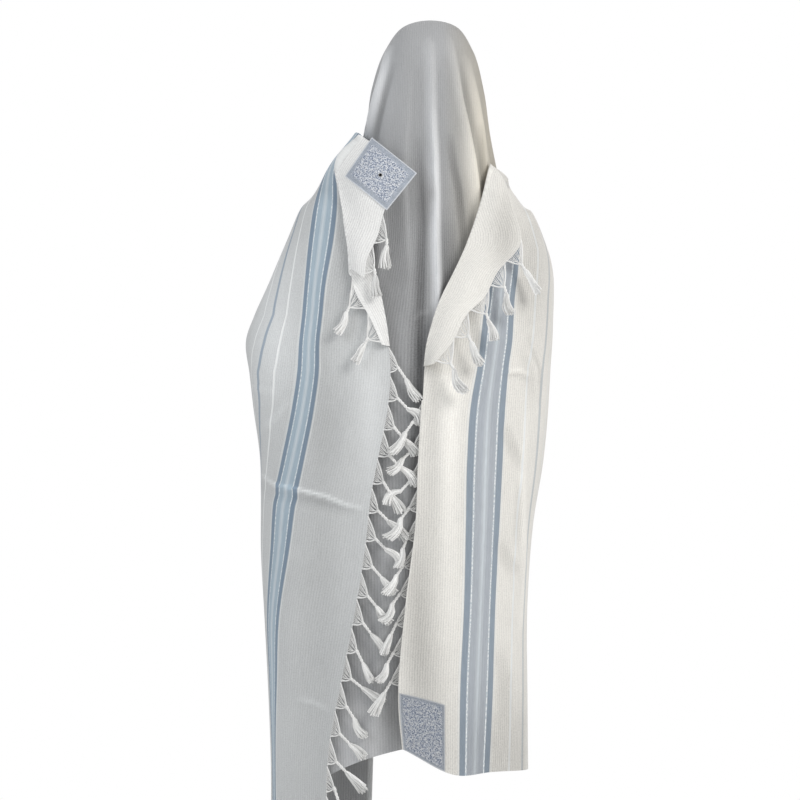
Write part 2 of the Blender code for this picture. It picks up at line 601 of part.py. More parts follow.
def stations(table, most=5.0):
    """Runs at which a piece has its rows: those of its table, and more between them where far apart."""
    runs = [row[0] for row in table]
    found = [runs[0]]
    for here, there in zip(runs, runs[1:]):
        parts = math.ceil((there - here) / most)
        found += [here + (there - here) * (i + 1) / parts for i in range(parts)]
    return np.array(found)


def seamed_normals(points, seams, row_seam=None):
    """Normals of a grid, shared by the two columns, or the two rows, on each side of a seam."""
    found = normals(points)
    for first in seams:
        shared = unit(found[:, first] + found[:, first + 1])
        found[:, first] = shared
        found[:, first + 1] = shared
    if row_seam is not None:
        shared = unit(found[row_seam] + found[row_seam + 1])
        found[row_seam] = shared
        found[row_seam + 1] = shared
    return found


def build_middle(cloth):
    reach, right = half_rows(1)
    left = half_rows(-1)[1]
    rows = np.concatenate([left[:, :0:-1], right], axis=1)
    spine = left.shape[1] - 1
    inner = [0, 0.5, 1, 1.5, 2, 2.5, 3, 3.5, SIDE_SEAM - SEAM_STEP]
    outer = [SIDE_SEAM + SEAM_STEP, 4.6, 5.2, 5.8, 6.4, 7, 7.5, 8]
    half = inner + outer
    places = [spine - place for place in half[:0:-1]] + [spine + place for place in half]
    points = grid_between(rows, reach, np.array(HOOD_RUNS + BACK_RUNS), np.array(places))
    count = len(outer)
    nape = len(HOOD_RUNS)
    seams = (count - 1, len(places) - count - 1)
    outward = -seamed_normals(points, seams, nape - 1)
    for i, j in np.ndindex(points.shape[:2]):
        facing_back = min(max(-2.5 * outward[i, j, 1] - 0.5, 0), 1)
        points[i, j] += outward[i, j] * drape_height(points[i, j, 0], points[i, j, 2]) * facing_back
    outward = -seamed_normals(points, seams, nape - 1)
    wall("left_side", points[:, :count], outward[:, :count], cloth)
    wall("hood", points[:nape, count:-count], outward[:nape, count:-count], cloth)
    wall("back", points[nape:, count:-count], outward[nape:, count:-count], cloth)
    wall("right_side", points[:, -count:], outward[:, -count:], cloth)


def build_left(cloth, brocade, threads):
    runs = [row[0] for row in LEFT_FLAP]
    rows = flap_rows(-1, LEFT_FLAP)
    downs = stations(LEFT_FLAP)
    points = grid_between(rows, runs, downs, np.array(FLAP_PLACES + FRONT_PLACES))
    flank = len(FLAP_PLACES)
    outward = seamed_normals(points, [flank - 1])
    wall("left_flap", points[:, :flank], outward[:, :flank], cloth)
    wall("left_front", points[:, flank:], outward[:, flank:], cloth)
    corner = np.ix_(downs >= PATCH_RUNS["left_low"], range(PATCH_COLUMNS))
    patch("patch_left_low", points[corner], outward[corner], 1, brocade)
    free = downs >= LEFT_PLEAT[-1][0]
    fringe("fringe_left", points[free, 0], points[free, 1], outward[free, 0], threads, False)

    runs = [row[0] for row in LEFT_PLEAT]
    downs = downs[(downs >= runs[0]) & (downs <= runs[-1])]
    rows = leg_rows(LEFT_PLEAT, WALL + SEAM, STAND_PLEAT)
    points = grid_between(rows, runs, downs, np.array(LEG_PLACES))
    outward = -normals(points)
    wall("left_pleat", points, outward, cloth)
    free = downs >= LEFT_CORNER[-1][0]
    fringe("fringe_left_pleat", points[free, 0], points[free, 1], outward[free, 0], threads, True)

    runs = [row[0] for row in LEFT_CORNER]
    downs = np.array(CORNER_RUNS)
    rows = leg_rows(LEFT_CORNER, STAND_PLEAT + WALL + SEAM, STAND_CORNER)
    points = grid_between(rows, runs, downs, np.array(CORNER_PLACES))
    outward = normals(points)
    wall("left_corner", points, outward, cloth)
    corner = np.ix_(downs <= PATCH_RUNS["left_high"], range(PATCH_COLUMNS))
    patch("patch_left_high", points[corner], outward[corner], 1, brocade)
    free = downs >= CORNER_FREE
    fringe("fringe_left_corner", points[free, 0], points[free, 1], outward[free, 0], threads, True)


def build_right(cloth, brocade, threads):
    runs = [row[0] for row in RIGHT_FLAP]
    rows = flap_rows(1, RIGHT_FLAP)
    flap_downs = stations(RIGHT_FLAP)
    points = grid_between(rows, runs, flap_downs, np.array(FLAP_PLACES + FRONT_PLACES))
    flank = len(FLAP_PLACES)
    outward = -seamed_normals(points, [flank - 1])
    wall("right_flap", points[:, :flank], outward[:, :flank], cloth)
    wall("right_front", points[:, flank:], outward[:, flank:], cloth)
    corner = np.ix_(flap_downs >= PATCH_RUNS["right_low"], range(PATCH_COLUMNS))
    patch("patch_right_low", points[corner], outward[corner], 1, brocade)

    runs = [row[0] for row in RIGHT_LAPEL]
    downs = flap_downs[flap_downs <= runs[-1]]
    rows = leg_rows(RIGHT_LAPEL, WALL + SEAM, STAND_LAPEL)
    points = grid_between(rows, runs, downs, np.array(LAPEL_PLACES))
    outward = normals(points)
    wall("right_lapel", points, outward, cloth)
    corner = np.ix_(downs <= PATCH_RUNS["right_high"], range(PATCH_COLUMNS))
    patch("patch_right_high", points[corner], outward[corner], -1, brocade)
    free = downs >= LAPEL_FREE
    fringe("fringe_right_lapel", points[free, 0], points[free, 1], outward[free, 0], threads, True)

    runs = [row[0] for row in TUCK]
    downs = flap_downs[flap_downs >= runs[0]]
    points = grid_between(tuck_rows(TUCK, RIGHT_FLAP), runs, downs, np.array(LEG_PLACES))
    outward = -normals(points)
    wall("right_tuck", points, outward, cloth)
    free = downs <= TUCK_FREE
    fringe("fringe_right_tuck", points[free, -1], points[free, -2], outward[free, -1], threads, False)


def main():
    for obj in list(bpy.data.objects):
        bpy.data.objects.remove(obj)
    cloth = material("woven_cloth", CLOTH_COLOUR, 0.85)
    brocade = material("corner_brocade", PATCH_COLOUR, 0.6)
    threads = material("fringe_thread", FRINGE_COLOUR, 0.8)
    build_middle(cloth)
    build_left(cloth, brocade, threads)
    build_right(cloth, brocade, threads)


main()
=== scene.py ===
"""Looks of the striped prayer shawl: fine cloth on the form of its solids, knotted fringe and brocade corners.

The wearer faces +Y, so the back of the shawl faces -Y. Tables are in centimetres. Two distances place a point in
the one woven rectangle, and a piece's UV map holds them in metres: across, from the fringed edge, and run, down
from the edge that frames the face.
"""

import math

import bpy
import numpy as np
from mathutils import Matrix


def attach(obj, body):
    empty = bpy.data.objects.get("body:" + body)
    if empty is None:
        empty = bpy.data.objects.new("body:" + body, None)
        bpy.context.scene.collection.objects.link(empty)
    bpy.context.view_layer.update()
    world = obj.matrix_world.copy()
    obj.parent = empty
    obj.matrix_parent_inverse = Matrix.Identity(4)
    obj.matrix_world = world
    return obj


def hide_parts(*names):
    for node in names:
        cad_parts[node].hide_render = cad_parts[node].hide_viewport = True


def ink(red, green, blue):
    """A colour given as screen values, as the shader's linear ones."""
    return tuple(((value / 255 + 0.055) / 1.055) ** 2.4 for value in (red, green, blue)) + (1.0,)


def level(run, z, edge_x, in_x, out_x, side_x, side_y=0.0):
    """A flap's row whose places are all at one height."""
    return run, edge_x, z, in_x, z, out_x, z, None, side_x, z, side_y


CM = 0.01
TINY = 1e-9
WALL = 0.2  # the solids' cloth
SEAM = 0.03  # between two pieces
LAYER = 1.4  # from the cloth round the arm out to the flap turned back over it
LOOSE = 0.7  # how much farther apart those two are at the sides
FOLD_REACH = 0.85  # how far a front fold stands out from the edges it joins
FOLD_RETURN = 0.4  # share of that where it meets the inner layer
BAND = (12.5, 18.5)  # the blue band, from the fringed edge
PATCH_WALL = 0.12
CORNER_FROM, CORNER_RUNS = 0.08, (0.5, 20.4)  # guide place and runs at which the corner's cloth begins and ends
STAND_PLEAT, STAND_CORNER, STAND_LAPEL = 1.0, 2.3, 2.1  # how far the free side of each leg stands out

# The cloth's outer outline, level by level: how far it reaches to each side, and its depth at the back,
# at its widest line and at the front.
# z, left, right, back, widest, front
OUTLINE = (
    (-14.0, -11.0, 9.6, -12.4, -4.0, 7.0),
    (-18.0, -11.7, 10.3, -12.8, -4.0, 8.0),
    (-24.0, -15.8, 11.2, -13.2, -3.6, 9.8),
    (-30.0, -20.9, 15.7, -13.8, -3.0, 12.0),
    (-38.0, -24.6, 19.6, -14.8, -2.0, 14.2),
    (-47.0, -28.4, 20.4, -15.6, -1.0, 16.0),
    (-54.0, -30.4, 20.2, -16.0, 0.0, 16.8),
    (-63.0, -29.2, 19.6, -15.9, 0.0, 17.0),
    (-74.0, -27.9, 18.6, -15.6, 0.0, 16.6),
    (-86.0, -27.9, 16.5, -15.3, 0.0, 16.2),
    (-100.0, -27.2, 16.1, -15.0, 0.0, 16.0),
    (-122.0, -26.2, 16.2, -14.6, 0.0, 15.6),
    (-148.0, -25.8, 16.2, -14.2, 0.0, 15.2),
)
SQUARENESS = 2.5  # power of the rounded square that the outline makes round the body
OUTLINE_EDGE = 0.995  # how near the outline's side a depth is still read

# One half of the cloth over the head and shoulders: x, y and z of each guide, row by row from the hem
# that frames the face. The left half is wider at the shoulder.
# spine, parting, temple, ear,
# neck, shoulder, arm, breast
HOOD = (
    (
        (0, 9.5, -2.5), (4.4, 9.8, -3.8), (7.0, 10, -7.4), (8.4, 10, -13),
        (8.6, 10.4, -21), (8.5, 11.6, -29), (8.2, 0, -36), (8.0, 0, -42),
    ),
    (
        (0, 0.0, 0.25), (4.5, 0, -0.9), (7.0, 0, -4.6), (8.8, -0.4, -11),
        (9.8, -1.5, -18.5), (11.2, 1.5, -26.5), (12.6, 6.5, -35), (11.5, 0, -43),
    ),
    (
        (0, -8.6, -4.0), (4.2, -8.0, -4.8), (7.2, -5.6, -8.2), (8.9, -4.0, -14.5),
        (10.0, -3.4, -21.5), (12.2, -0.8, -29.5), (14.6, 5.0, -38.5), (13, 0, -47),
    ),
    (
        (0, -10.6, -13.0), (4.4, -10.1, -13.5), (7.8, -7.8, -16.5), (9.3, -5.9, -21.5),
        (10.2, -4.0, -28.5), (15.6, -0.5, -36), (17.0, 6.0, -44.5), (13.5, 0, -52),
    ),
    (
        (0, -11.2, -24.5), (4.8, -10.9, -25), (8.6, -9.7, -27), (10.7, -7.6, -31.0),
        (14.0, -4.5, -37.0), (17.6, 0.5, -43), (17.2, 8.0, -51), (13.2, 0, -58),
    ),
    (
        (0, -12.9, -37.5), (5.3, -12.6, -37.8), (10.2, -11.3, -39), (14.3, -8.4, -42),
        (17.3, -3.5, -46.5), (18.2, 3.0, -52), (16.4, 9.8, -58.5), (12.6, 0, -64.5),
    ),
)
HOOD_REACH = (0, 10, 20, 30, 41.5, 54.5)  # along the spine from the face
HOOD_FOLD_Z = (-47, -52, -56, -60.5, -66, -72)  # where each row meets the front fold
LEFT_WIDER = (1.0, 1.0, 1.05, 1.09, 1.09, 1.28, 1.42, 1.12)

# Lower rows of the same cloth: distance from the face along the spine, and height at the spine and folds.
# reach, spine, fold_left, fold_right
LOWER = (
    (71, -54.0, -83.0, -82.0),
    (91, -74.0, -102.0, -94.0),
    (113, -96.0, -124.0, -106.5),
    (136, -119.0, -146.0, -118.5),
)
HEM_BEND = 1.2  # power by which a row's height leaves the spine's for the fold's
FRONT_X = 8.0  # half the gap between the two front folds
FRONT_DRIFT = 3.0  # how far that gap has moved to the left at the hem
DRIFT_FROM, DRIFT_SPAN = -50.0, 96.0  # where it begins to, and over what height
RING_STEPS = 80  # steps of the outline by which a lower row is measured

# The left flap, row by row: its inner edge (a pleat's fold above, the fringed edge below), both edges of
# the stripe band, and its side. Where the outline doesn't give a depth, it is written.
# run, edge_x, edge_z, in_x, in_z, out_x, out_z, out_y, side_x, side_z, side_y
LEFT_FLAP = (
    (0.0, -10.5, -19.1, -11.3, -18.5, -13.1, -20.4, 2.0, -14.4, -29.0, 9.5),
    (8.0, -14.5, -24.6, -15.3, -24.1, -17.4, -25.2, -1.5, -19.0, -31.0, 6.0),
    (12.5, -11.9, -32.5, -15.3, -30.2, -19.0, -30.2, None, -21.1, -30.8, -2.0),
    (16.6, -10.4, -37.5, -15.8, -35.3, -19.8, -35.3, None, -23.4, -35.8, -1.5),
    (22.5, -8.4, -44.4, -17.2, -43.4, -20.6, -43.4, None, -26.7, -43.4, -1.2),
    (27.6, -7.4, -49.2, -17.7, -48.3, -21.0, -48.3, None, -29.0, -48.5, -0.8),
    (32.9, -6.8, -53.5, -18.2, -53.0, -21.5, -53.0, None, -30.4, -53.0, 0.0),
    (37.6, -6.5, -57.8, -18.3, -57.8, -21.8, -57.8, None, -29.8, -57.9, 0.0),
    level(43.0, -63.2, -6.9, -19.0, -22.6, -29.2),
    level(52.8, -72.6, -8.7, -20.8, -24.5, -28.0),
    level(58.0, -77.9, -9.7, -21.9, -25.6, -27.9),
    level(67.0, -86.8, -10.7, -23.1, -26.2, -27.9),
    level(78.3, -98.0, -12.5, -24.7, -26.8, -27.3),
    level(89.6, -109.1, -14.7, -25.1, -26.4, -26.7),
    level(99.0, -118.5, -16.5, -25.4, -26.1, -26.3),
    level(118.0, -134.0, -16.9, -25.3, -25.9, -26.0),
    level(135.0, -146.0, -16.2, -25.2, -25.7, -25.8),
)
# The two legs above the left flap's edge: where each begins and ends, row by row.
# run, free_x, free_z, fold_x, fold_z
LEFT_PLEAT = (
    (10.25, -14.9, -28.0, -13.4, -28.4),
    (12.5, -14.2, -32.3, -11.9, -32.5),
    (16.6, -13.5, -37.5, -10.4, -37.5),
    (22.5, -12.4, -44.3, -8.4, -44.4),
    (27.6, -9.9, -48.8, -7.4, -49.2),
    (32.9, -7.9, -53.3, -6.8, -53.5),
)
LEFT_CORNER = (
    (0.0, -2.1, -26.2, -10.7, -20.4),
    (8.0, -7.1, -31.4, -15.3, -25.6),
    (12.5, -8.4, -35.6, -14.2, -32.0),
    (16.6, -10.2, -39.3, -13.5, -37.3),
    (20.4, -10.7, -42.4, -13.0, -40.9),
)

# The right flap, with the same columns as the left one.
RIGHT_FLAP = (
    (0.0, 10.4, -23.9, 12.0, -25.0, 12.6, -29.0, 7.0, 12.4, -35.0, 10.8),
    (4.0, 9.4, -27.4, 11.4, -27.6, 13.6, -28.2, -0.5, 15.4, -34.0, 7.5),
    (8.0, 8.4, -30.5, 10.9, -30.5, 15.0, -30.6, None, 16.1, -31.2, -2.0),
    level(16.0, -37.5, 5.8, 10.1, 14.7, 19.4, -1.8),
    level(21.0, -41.4, 4.0, 9.6, 14.4, 20.3, -1.4),
    level(26.0, -45.4, 2.0, 9.2, 13.9, 20.4, -1.0),
    level(31.5, -48.9, 0.7, 8.7, 13.7, 20.3, -0.8),
    level(35.5, -52.5, -0.3, 8.3, 13.5, 20.2),
    level(41.0, -56.8, -0.9, 7.8, 12.9, 19.9),
    level(46.0, -62.4, -1.2, 6.8, 12.4, 19.6),
    level(56.0, -72.3, -1.8, 6.1, 11.9, 18.7),
    level(66.0, -82.2, -2.2, 5.9, 11.4, 17.1),
    level(79.5, -95.4, -3.8, 5.6, 10.7, 16.1),
    level(96.0, -111.9, -5.05, 4.9, 10.2, 16.1),
    (105.0, -4.4, -119.7, 4.8, -124.0, 9.7, -123.5, None, 16.2, -123.1, 0.0),
)
# The leg that lies on the right flap, with the pleat's columns.
RIGHT_LAPEL = (
    (0.0, 12.4, -27.3, 10.4, -24.5),
    (4.0, 12.9, -28.7, 9.4, -27.5),
    (8.0, 13.5, -30.5, 8.4, -30.5),
    (16.0, 14.7, -37.1, 5.8, -37.5),
    (21.0, 11.1, -41.3, 4.0, -41.4),
    (26.0, 9.1, -45.2, 2.0, -45.4),
    (31.5, 5.6, -48.9, 0.7, -48.9),
    (35.5, 4.0, -52.3, -0.3, -52.5),
    (41.0, 0.6, -56.4, -0.9, -56.8),
)
# The turned-in edge below the lapel curls round behind the fold: how far it reaches across, and how deep.
# run, across, deep
TUCK = (
    (46.0, 0.4, 0.6),
    (56.0, 1.2, 1.4),
    (66.0, 1.3, 1.5),
    (79.5, 1.2, 1.4),
    (96.0, 1.1, 1.3),
    (105.0, 1.0, 1.2),
)
RIDGE_LIFT = 0.85  # how much farther apart the layers are where they cross the shoulder's ridge
RIDGE_RUN = 12.0  # run at which that has died away
TUCK_STAND = 1.2  # how far the right flap's turned-in edge stands off the back
TUCK_FROM, TUCK_SPAN = 42.0, 8.0  # run at which it begins to, and over what run
TUCK_BULGE, LEG_BULGE = 0.45, 0.7  # share of the whole depth that is reached at the middle
ROUND_ARM = 0.14  # the guide beside the flank: how far it is back from it towards the band
# The guides ahead of the flank: shares of the way across and down to the front fold.
AHEAD = ((0.12, 0.3), (0.45, 0.68))
TILT_FROM, TILT_SPAN, TILT = -30.0, 10.0, 0.9  # above this height a lift turns upwards, in radians

# Where each flap meets its front fold: run from the top edge, and height.
FOLD_LINES = {
    -1: ((0, -47.0), (37, -73.0), (67, -98.0), (135, -146.0)),
    1: ((0, -47.0), (41, -74.0), (70, -96.0), (105, -118.5)),
}

# Fringe: the warp ends are drawn together in webs, knotted, twisted into a neck and left as a loose tail.
TASSEL_STEP = 4.6
TAIL_CLEAR = 1.25  # between a flap and the middle of a tail that lies on it
CORNER_FREE, LAPEL_FREE = 8.6, 14.6  # run at which each one's fringe begins, below its patch
TUCK_FREE = 94.0  # run at which the tuck's ends, above the low patch
# Each one's length of neck and of tail, whether it lies on a flap, and the way its tails lean: share of the
# way down the edge, across, deep, down.
FRINGES = {
    "fringe_left_corner": (
        1.1, 3.7, True, ((0.0, 0.30, 0.0, -0.95), (0.5, 0.12, 0.0, -1.0), (1.0, -0.1, 0.0, -1.0)),
    ),
    "fringe_left_pleat": (
        1.0, 3.6, True, ((0.0, -0.5, 0.0, -0.85), (0.5, -0.3, 0.0, -0.95), (1.0, -0.3, 0.0, -0.95)),
    ),
    "fringe_left": (
        2.3, 3.9, False,
        ((0.0, 0.4, 0.02, -0.9), (0.12, 0.6, 0.02, -0.77), (0.6, 0.6, 0.02, -0.77), (1.0, 0.32, 0.0, -0.95)),
    ),
    "fringe_right_lapel": (
        1.1, 4.0, True, ((0.0, 0.35, 0.0, -0.93), (0.5, 0.45, 0.0, -0.9), (1.0, 0.35, 0.0, -0.95)),
    ),
    "fringe_right_tuck": (
        2.1, 4.0, False,
        ((0.0, -0.3, -0.2, -0.93), (0.2, -0.6, -0.22, -0.8), (0.6, -0.62, -0.22, -0.77), (1.0, -0.35, -0.15, -0.94)),
    ),
}
ROOTS = 15  # warp ends in a web
WEB_SIDES = (0.46, 0.44)  # how much of the way to the next web it takes on each side
WEB_LENGTH = 1.9
WEB_SLOPE = (0.62, 0.7)  # how much of it runs away from the edge and how much down
WEB_TOP, WEB_SAG = 0.2, 0.3  # how far inside the edge its ends begin, and how far its middle hangs
END_THREAD, SIDE_CORD = 0.06, 0.11  # radius of a web's warp ends, and of the cords along its two sides
GATHER = 0.62  # share of the way from the edge to the knot at which a web's warp ends meet in threes
KNOT_RADIUS, KNOT_TURNS = 0.27, 5
KNOT_CORD, KNOT_LENGTH = 0.42, 0.7  # radius of its cord and half its length, as shares of its radius
KNOT_ROUND = 0.8  # how much it narrows towards its ends
KNOT_SHIFT, KNOT_LEAN, KNOT_TILT = 1.3, 2.1, 0.25  # how each turn starts and tilts otherwise than the last
NECK_CORD, NECK_TWIST = 0.16, 0.9  # radius of its two cords, and their turns for each centimetre
NECK_STEPS, NECK_OVER = 13, 0.05  # points of a cord, and the share of the neck by which it is longer at each end
CORD_OUT = 0.75  # share of its radius by which a wound cord leaves the middle
STRANDS, STRAY = 20, 5  # strands of a tail, and its stray ends
STRAND, STRAND_TAPER = 0.15, (1.05, 0.75)  # radius of a strand, and shares of it at its two ends
# Random tones for single strands, stronger at a tail's outside: partly uneven yarn, partly painted shade between the
# yarns
STRAND_SHADES = (-0.2, -0.05, 0.03, 0.1)
STRAY_OUT, STRAY_THIN = 1.25, 0.4  # how much farther out a stray end is, and how thin
TAIL_PARTS = (0.0, 0.28, 0.62, 1.0)  # shares of a tail at which its strands are placed
TAIL_ROOT = (0.24, 0.18)  # half width and half depth of a tail's root
TAIL_FLARE, TAIL_DEPTH = 1.02, 0.5  # and of its tip
TAIL_BEND = 0.42
# How unevenly they are made: the least and the greatest share of each measure.
WEB_LENGTHS, KNOT_SIZES, TAIL_LENGTHS = (0.9, 1.08), (0.85, 1.1), (0.84, 1.14)
STRAND_LENGTHS, FLARES = (0.86, 1.03), (0.72, 1.15)
CORD_SIDES, END_SIDES, STRAY_SIDES = 5, 4, 3
CURVE_STEPS, END_STEPS, KNOT_STEPS = 9, 8, 11
GOLDEN_TURN = 2.4  # turn from one strand to the next, which spreads them evenly
UNLIKE_ANY = (0.31, -0.89, 0.33)  # a direction that no thread takes

# Fine cloth.
THIN = 0.14  # thickness of the fine cloth
SPACING, PLEAT_SPACING = 0.42, 0.252  # between columns and rows of the flaps, and of the pleat
BACK_GUIDES = 4  # guides to each side of the spine between which the columns are finer
BACK_SPACING, FRONT_SPACING, ROW_SPACING = 0.27, 1.3, 0.75  # columns and rows of the middle
PATCH_SPACING = 0.2
ROLL_STEPS = 6  # facets of a pressed fold
RIM_ANGLE = math.radians(50)  # a turn sharper than this is an edge
CORNER_COLUMNS, LAPEL_COLUMNS, TUCK_COLUMNS, PATCH_COLUMNS = 36, 36, 14, 44
RIB, YARN = 0.42, 0.1  # pitch of the ribs and of the yarns
TWILL, WHIP_STITCH, PLY = 0.16, 0.22, 0.3  # pitch of the patches' threads, of their edging and of the fringe's plies
BAND_EDGE = 1.05  # width of the darker stripes along the band's sides
SATIN_LINE = (22.4, 22.8)
PAINTED_WARM_FROM = (0.02, 0.09)  # where the painted warm light begins and is full, right of the spine in metres
CORNER_WARP = 12.2  # distance from the fringe at which the corner is folded, just before the band
PAINTED_SHADING_WIDER = 1.25  # how much farther than its height a fold's painted light and shade reach, and there end more sharply
CREASE_END, CREASE_SWELL = 0.03, 0.6  # how a crease begins and ends: share of its full swell, and the swell's power
FACED, PAINTED_SHADING_FACED = 3, 0.9  # how fast creases come in as the cloth turns to face them, and their painted light and shade before them
# Runs at which the pattern lies farther in than the form says, and how far: the right band, where the lapel
# covers it, and the left flap's side, where it turns away at the elbow.
UNDER_LAPEL = (0, 4, 8, 16), (30, 4.6, 3.3, 0)
AT_ELBOW = (0, 15.5, 27.6, 37.6, 46), (3.0, 3.6, 3.9, -0.6, 0)
EDGE_WARP = 0.4  # distance in the cloth from the fringe to the first column
MIDDLE_FROM, GUIDE_WARP = 45.0, 6.2  # places across the middle: where it starts, and for each guide

# Creases and folds: height, painted light along it (a painted highlight where positive, painted shade where negative),
# half widths to the left and the right of it as it is followed, then its line, each point x and z.
LEFT_CREASES = (
    (
        0.34, 0.42, 0.30, 0.24, (-27.6, -74.7), (-25.7, -76.1), (-21.5, -77.1), (-17.0, -78.2), (-14.0, -79.5),
        (-10.9, -80.2),
    ),
    (-0.30, -0.10, 0.9, 0.6, (-27.6, -76.4), (-25.7, -77.8), (-21.5, -78.6), (-17.0, -79.8), (-12.5, -81.2)),
    (0.16, 0.14, 0.35, 0.35, (-21.8, -111.5), (-19.0, -112.2), (-16.5, -113.4)),
    (0.14, 0.08, 0.6, 0.4, (-29.4, -60.0), (-25.6, -61.1)),
    (0.16, 0.08, 0.7, 0.4, (-23.1, -62.4), (-25.0, -65.0), (-27.2, -67.3)),
    (-0.22, -0.05, 1.6, 1.6, (-15.0, -60.0), (-17.0, -74.0)),
    (0.20, 0.0, 2.4, 2.4, (-24.0, -84.0), (-24.5, -118.0)),
    (-0.20, -0.04, 2.6, 2.6, (-18.0, -86.0), (-20.0, -130.0)),
    (0.18, 0.04, 1.8, 1.8, (-24.5, -36.0), (-27.5, -58.0)),
)
RIGHT_CREASES = (
    (0.20, 0.12, 0.4, 0.3, (12.4, -57.8), (14.5, -57.5), (16.6, -58.2)),
    (-0.14, -0.14, 0.3, 0.4, (12.4, -58.5), (14.5, -58.3), (16.2, -59.2)),
    (0.22, 0.04, 0.3, 0.38, (16.4, -53.3), (17.6, -57.8), (17.9, -62.4)),
    (-0.22, -0.16, 0.35, 0.22, (16.0, -51.6), (16.6, -53.6), (18.0, -57.2), (18.1, -63.0)),
    (-0.22, -0.10, 0.9, 0.5, (15.4, -54.6), (16.7, -58.8), (17.0, -63.0)),
    (-0.26, -0.15, 0.9, 0.6, (12.2, -66.5), (13.4, -69.5), (15.0, -73.6)),
    (-0.24, -0.13, 1.1, 0.7, (11.6, -85.5), (12.8, -88.5), (14.6, -91.0)),
    (-0.20, -0.11, 1.2, 0.8, (11.4, -103.0), (12.6, -109.0), (12.4, -115.0)),
    (0.20, 0.10, 0.45, 0.4, (15.8, -64.0), (15.2, -76.0), (15.7, -92.0), (15.0, -100.0)),
    (-0.20, -0.10, 0.5, 0.5, (14.6, -76.0), (14.3, -86.0)),
    (0.16, 0.08, 0.5, 0.9, (8.6, -62.0), (8.8, -74.0), (8.0, -92.0)),
    (0.22, 0.03, 1.6, 1.6, (3.0, -60.0), (1.6, -84.0)),
    (-0.16, -0.02, 1.4, 1.4, (5.6, -64.0), (4.0, -100.0)),
    (0.18, 0.02, 1.7, 1.7, (9.0, -80.0), (8.4, -118.0)),
    (0.20, 0.0, 1.5, 1.5, (17.4, -42.0), (17.2, -56.0)),
)
MIDDLE_FOLDS = (
    (
        0.9, 0.62, 1.05, 0.62, (0.1, -4.0), (0.3, -9.0), (0.45, -17.8), (0.8, -23.0), (0.95, -29.0), (1.0, -36.0),
        (1.4, -45.0), (1.8, -60.0),
    ),
    (0.3, 0.40, 0.6, 0.50, (0.6, -15.0), (0.9, -24.0), (1.1, -33.0), (1.4, -44.0), (1.7, -56.0)),
    (0.0, 0.20, 0.4, 0.3, (-0.2, -22.0), (0.0, -27.0), (0.1, -31.0)),
    (0.0, 0.35, 0.35, 0.5, (0.3, -24.0), (0.35, -33.0), (0.5, -42.0), (0.7, -50.0)),
    (-0.3, -0.32, 0.7, 0.6, (-2.0, -20.0), (-1.7, -27.7), (-1.4, -33.0), (-1.5, -43.0), (-1.4, -60.0)),
    (
        0.9, 0.40, 0.8, 0.3, (3.6, -3.4), (4.3, -7.9), (5.0, -12.9), (6.1, -17.8), (7.1, -22.8), (8.0, -28.5),
        (8.5, -34.0),
    ),
    (0.0, 0.50, 1.5, 0.25, (6.5, -18.5), (7.2, -22.8), (8.1, -28.5), (8.8, -35.5)),
    (-0.3, -0.16, 0.3, 0.5, (5.2, -7.0), (5.9, -12.9), (6.9, -17.8), (7.8, -21.5)),
    (-0.3, -0.34, 0.6, 0.5, (3.2, -19.0), (4.0, -24.5), (4.7, -27.7), (5.3, -33.0), (5.8, -38.0)),
    (-0.1, -0.30, 1.4, 1.4, (2.8, -32.5), (3.2, -44.0), (2.6, -50.0)),
    (0.6, 0.50, 0.8, 0.4, (6.2, -6.5), (7.6, -12.9), (8.4, -17.8), (9.2, -22.8), (9.9, -29.0)),
    (-0.3, -0.45, 0.35, 0.35, (7.9, -17.5), (8.5, -23.6), (9.0, -27.7), (9.4, -31.5)),
    (0.75, 0.85, 0.45, 0.6, (-6.8, -4.6), (-7.6, -8.0), (-8.9, -12.9), (-10.1, -17.8), (-11.2, -22.5)),
    (-0.4, -0.30, 0.35, 0.45, (-6.2, -7.5), (-7.7, -12.9), (-8.8, -17.8), (-9.6, -22.5)),
    (0.25, 0.10, 1.2, 0.6, (-3.4, -9.0), (-4.4, -26.0), (-3.6, -40.0), (-4.0, -60.0)),
    (0.14, 0.14, 0.3, 0.3, (-2.6, -48.8), (-1.2, -48.0), (0.2, -47.7)),
    (0.30, 0.05, 0.8, 0.8, (-3.2, -62.0), (-4.4, -92.0)),
    (-0.25, -0.08, 0.9, 0.9, (-1.4, -66.0), (-3.0, -104.0)),
    (0.28, 0.06, 1.0, 1.0, (-7.0, -84.0), (-9.5, -122.0)),
    (0.35, 0.10, 0.9, 0.9, (-7.9, -28.0), (-8.6, -44.0)),
)
FRONT_CREASES = (
    (0.85, 0.10, 1.2, 1.4, (-12.4, -48.0), (-14.4, -82.0), (-15.4, -128.0)),
    (-0.3, -0.10, 1.5, 1.3, (-16.6, -52.0), (-18.6, -80.0), (-19.6, -118.0)),
    (0.80, 0.09, 1.2, 1.4, (-21.4, -58.0), (-22.4, -92.0), (-23.0, -134.0)),
    (0.45, 0.06, 1.4, 1.6, (-15.0, -34.0), (-20.0, -46.0), (-25.0, -55.0)),
    (0.80, 0.10, 1.2, 1.4, (11.6, -48.0), (10.8, -80.0), (9.6, -112.0)),
    (-0.3, -0.10, 1.4, 1.4, (14.4, -52.0), (13.4, -76.0), (12.4, -104.0)),
    (0.50, 0.06, 1.1, 1.2, (16.6, -58.0), (15.8, -84.0), (15.0, -108.0)),
)
